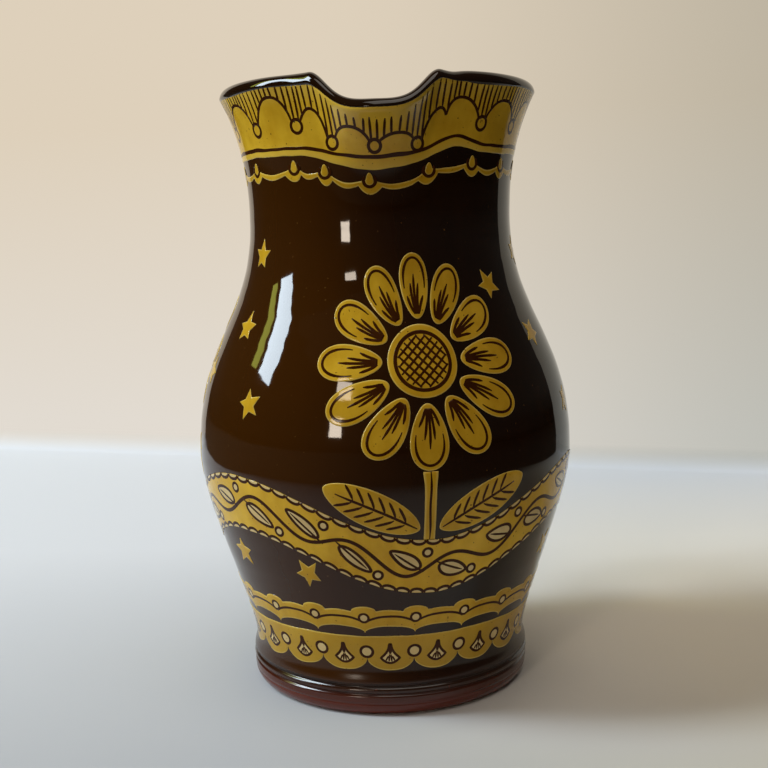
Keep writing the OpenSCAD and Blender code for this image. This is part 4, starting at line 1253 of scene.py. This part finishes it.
def lute_skirt(t_join, t_wall, margin):
    """Luting clay: a smoothed skirt from the strap out onto the wall. Each line round it is a quadratic
    curve from the strap, past the corner, to a wider outline on the wall, closed under the surface."""
    join, foot = handle_points(np.array([t_join, t_wall]), handle_b)
    centre = foot.mean(0)
    spread = (foot - centre) * [1, 0, 1]
    rim = centre + spread * (1 + margin / np.linalg.norm(spread, axis=-1, keepdims=True))
    corner = behind_wall(centre + spread * CORNER_GROW, CORNER_OFF)
    s = np.linspace(0, 1, 14)[:, None, None]
    skirt = (1 - s) ** 2 * join + 2 * s * (1 - s) * corner + s ** 2 * behind_wall(rim, LUTE_OFF)
    hidden = [behind_wall(rim, -LUTE_SINK), behind_wall(centre + spread * LUTE_SHRINK, -LUTE_SINK),
              (join - join.mean(0)) * LUTE_SHRINK + join.mean(0)]
    return np.concatenate([skirt, hidden])


for name, t_join, t_wall, margin, node in LUTES:
    skirt = lute_skirt(t_join, t_wall, margin)
    outward = skirt[:, ::-1] if t_join > t_wall else skirt
    put_mesh(name, [grid(outward, True, True)], DARK_SLIP, [node])


# Stage: a plain pale cloth on the floor and up behind the jug, in a plain grey room, in metres
CLOTH_X, CLOTH_FRONT, CLOTH_TOP, CLOTH_SLANT = (-0.355, 0.37), -0.4, 0.8, 0.29
WALL_Y, SWEEP_R = 0.326, 0.012
ROOM_R, ROOM_SWEEP, ROOM_H, ROOM_DROP, ROOM_HUB = 2.4, 0.4, 1.8, 0.002, 0.01
ROOM_FLOOR, ROOM_WALL, ROOM_RISE = "#4c463f", "#8c8680", (0.02, 0.4)
# Cloth on the floor: tone far left, painted light beside the jug, painted shadow at the front edge, and
# where they change
FLOOR_LEFT, FLOOR_PAINTED_WARM_LIGHT, FLOOR_PAINTED_SHADOW = "#dcdde4", "#efe6d6", "#727577"
WARM_LIGHT_X, WARM_LIGHT_Y, SHADOW_FROM = (-0.04, 0.1), (0.26, 0.02), 0.14
# Painted pool of light: outside this round the floor cloth dims to the room's floor tone
LIGHT_POOL_AT, LIGHT_POOL_R = (0, 0.2, 0), (0.32, 0.47)
# Cloth behind the jug: tones left to right, dimmed right as painted light, low and high, where they change
FALL_LOW, FALL_HIGH = ("#e2dbd1", "#b9bab3"), ("#ded0bb", "#b9b09e")
FALL_X, FALL_Z, FALL_START = (-0.05, 0.28), (0.02, 0.2), (0.001, 0.012)


def cloth_sheet():
    """A profile of flat floor, small quarter round and upright fall, carried sideways on a slant that
    brings the sheet nearer on the right."""
    x = np.array(CLOTH_X)[:, None]
    turn = np.linspace(0, np.pi / 2, 12)
    y = np.concatenate([[CLOTH_FRONT], WALL_Y - SWEEP_R + SWEEP_R * np.sin(turn), [WALL_Y]])
    z = np.concatenate([[0], SWEEP_R * (1 - np.cos(turn)), [CLOTH_TOP]])
    return grid(np.stack(np.broadcast_arrays(x, y - CLOTH_SLANT * x, z), -1))


def room_sheet():
    """Floor and wall turned round the jug's axis: a disc just under the cloth, a quarter round, a wall."""
    turn = np.linspace(0, np.pi / 2, 10)
    r = np.concatenate([[ROOM_HUB], ROOM_R - ROOM_SWEEP + ROOM_SWEEP * np.sin(turn), [ROOM_R]])
    z = np.concatenate([[0], ROOM_SWEEP * (1 - np.cos(turn)), [ROOM_H]]) - ROOM_DROP
    return grid(around(round_jug(90)[:, None], r, z)[:, ::-1], True)


def cloth_material():
    """Plain matt cloth: a cool pale floor that takes the shadow, with painted warm light beside the jug on
    the right, painted shadow greying it towards its front edge and a painted pool of light outside which
    it dims, and a warmer fall that glows with set tones to the eye and in the glaze, a painted light that
    dims to the right, cooler low down. It shows only from its face."""
    material, tree = new_material("plain_matt_cloth")
    place = add(tree, "TexCoord")["Object"]
    x, y, z = add(tree, "SeparateXYZ", inputs={0: place})
    aside = ramp(tree, x, FALL_X, smooth=True)
    low, high = [mix(tree, aside, left, right) for left, right in (FALL_LOW, FALL_HIGH)]
    fall = mix(tree, ramp(tree, z, FALL_Z), low, high)
    rise = ramp(tree, z, FALL_START)
    beside = ramp(tree, y, WARM_LIGHT_Y, to=(0, ramp(tree, x, WARM_LIGHT_X)))
    near = ramp(tree, y, (SHADOW_FROM, CLOTH_FRONT))
    reach = add(tree, "VectorMath", {"operation": "DISTANCE"}, {0: place, 1: LIGHT_POOL_AT})["Value"]
    outer = ramp(tree, reach, LIGHT_POOL_R, smooth=True)
    # Painted light on the floor: warm light beside the jug, shadow to the front, dimming outside the pool
    flat = FLOOR_LEFT
    for share, tone in ((beside, FLOOR_PAINTED_WARM_LIGHT), (near, FLOOR_PAINTED_SHADOW), (outer, ROOM_FLOOR)):
        flat = mix(tree, share, flat, tone)
    colour = mix(tree, rise, flat, fall)
    ray = add(tree, "LightPath")
    mirrored = compute(tree, "MAXIMUM", ray["Is Glossy Ray"], ray["Is Transmission Ray"])
    seen = compute(tree, "MAXIMUM", ray["Is Camera Ray"], mirrored)
    shown = compute(tree, "MULTIPLY", seen, rise)
    cloth = add(tree, "BsdfDiffuse", inputs={"Color": colour})[0]
    # The fall glows with its set tones to the eye and in the glaze: painted light, dimmer to the right
    glow = add(tree, "Emission", inputs={"Color": fall})[0]
    front = add(tree, "MixShader", inputs={0: shown, 1: cloth, 2: glow})[0]
    clear = add(tree, "BsdfTransparent")[0]
    back = add(tree, "NewGeometry")["Backfacing"]
    add(tree, "OutputMaterial", inputs={
        0: add(tree, "MixShader", inputs={0: back, 1: front, 2: clear})[0]})
    return material


def room_material():
    """Plain matt grey paint over a darker floor, dim enough to leave the glaze dark where it mirrors
    them."""
    material, tree = new_material("plain_matt_grey")
    height = add(tree, "SeparateXYZ", inputs={0: add(tree, "TexCoord")["Object"]})["Z"]
    tone = mix(tree, ramp(tree, height, ROOM_RISE), ROOM_FLOOR, ROOM_WALL)
    add(tree, "OutputMaterial", inputs={0: add(tree, "BsdfDiffuse", inputs={"Color": tone})[0]})
    return material


def put_stage(name, part, material):
    """A plain stage sheet from a grid in metres."""
    sheet = bpy.data.meshes.new(name)
    sheet.from_pydata(part[0], [], part[1][0])
    sheet.materials.append(material)
    sheet.shade_smooth()
    stage = bpy.data.objects.new(name, sheet)
    bpy.context.scene.collection.objects.link(stage)


put_stage("pale_cloth", cloth_sheet(), cloth_material())
put_stage("grey_room", room_sheet(), room_material())


# Light: a window on the left with a narrow pane beside it, two small panes in front, a soft box overhead
JUG_MIDDLE = (0, 0, 0.12)
# Lamps: name, place, width and height in metres, power in watts and colour
LAMPS = (("window_left", (-1.31, -0.09, 1.1), (0.35, 1.06), 25.5, "#e3f3ff"),
         ("window_left_pane", (-1.31, 0.2, 1.06), (0.16, 0.92), 2.8, "#d8de62"),
         ("window_front_high", (-0.64, -1.34, 0.85), (0.24, 0.15), 2, "#ffeeda"),
         ("window_front_low", (-0.72, -1.3, 0.33), (0.19, 0.16), 2.2, "#ffeeda"),
         ("soft_box_overhead", (0.15, -0.3, 1.35), (1, 0.8), 5.8, "#fbf3e8"))
ROOM_LIGHT, ROOM_STRENGTH = "#cfc6ba", 0.08


def put_lamp(name, place, size, power, colour):
    """Rectangular area lamp at a place, turned to face the jug's middle."""
    lamp = bpy.data.lights.new(name, "AREA")
    lamp.shape = "RECTANGLE"
    lamp.size, lamp.size_y = size
    lamp.energy = power
    lamp.color = linear(colour)[:3]
    lit = bpy.data.objects.new(name, lamp)
    turn = (Vector(place) - Vector(JUG_MIDDLE)).to_track_quat("Z", "Y").to_matrix().to_4x4()
    lit.matrix_world = Matrix.Translation(place) @ turn
    bpy.context.scene.collection.objects.link(lit)


for lamp in LAMPS:
    put_lamp(*lamp)
world = bpy.data.worlds.new("dim_room")
world.use_nodes = True
background = world.node_tree.nodes["Background"]
background.inputs["Color"].default_value = linear(ROOM_LIGHT)
background.inputs["Strength"].default_value = ROOM_STRENGTH
bpy.context.scene.world = world
bpy.context.scene.view_settings.view_transform = "Standard"


# Camera at the photograph's place: level with the shoulder, pitched down, turned a little

# Place in metres, angles in degrees, lens in millimetres
CAMERA_AT, CAMERA_PITCH, CAMERA_ROLL = (0, -0.3479, 0.1338), 7.52, -1.42
SENSOR_W, FOCAL_L = 36.0, 54.23
lens = bpy.data.cameras.new("photo_camera")
lens.sensor_width, lens.lens = SENSOR_W, FOCAL_L
camera = bpy.data.objects.new("photo_camera", lens)
camera.matrix_world = (Matrix.Translation(CAMERA_AT)
                       @ Matrix.Rotation(math.radians(90 - CAMERA_PITCH), 4, "X")
                       @ Matrix.Rotation(math.radians(CAMERA_ROLL), 4, "Z"))
bpy.context.scene.collection.objects.link(camera)
bpy.context.scene.camera = camera

bpy.context.view_layer.update()
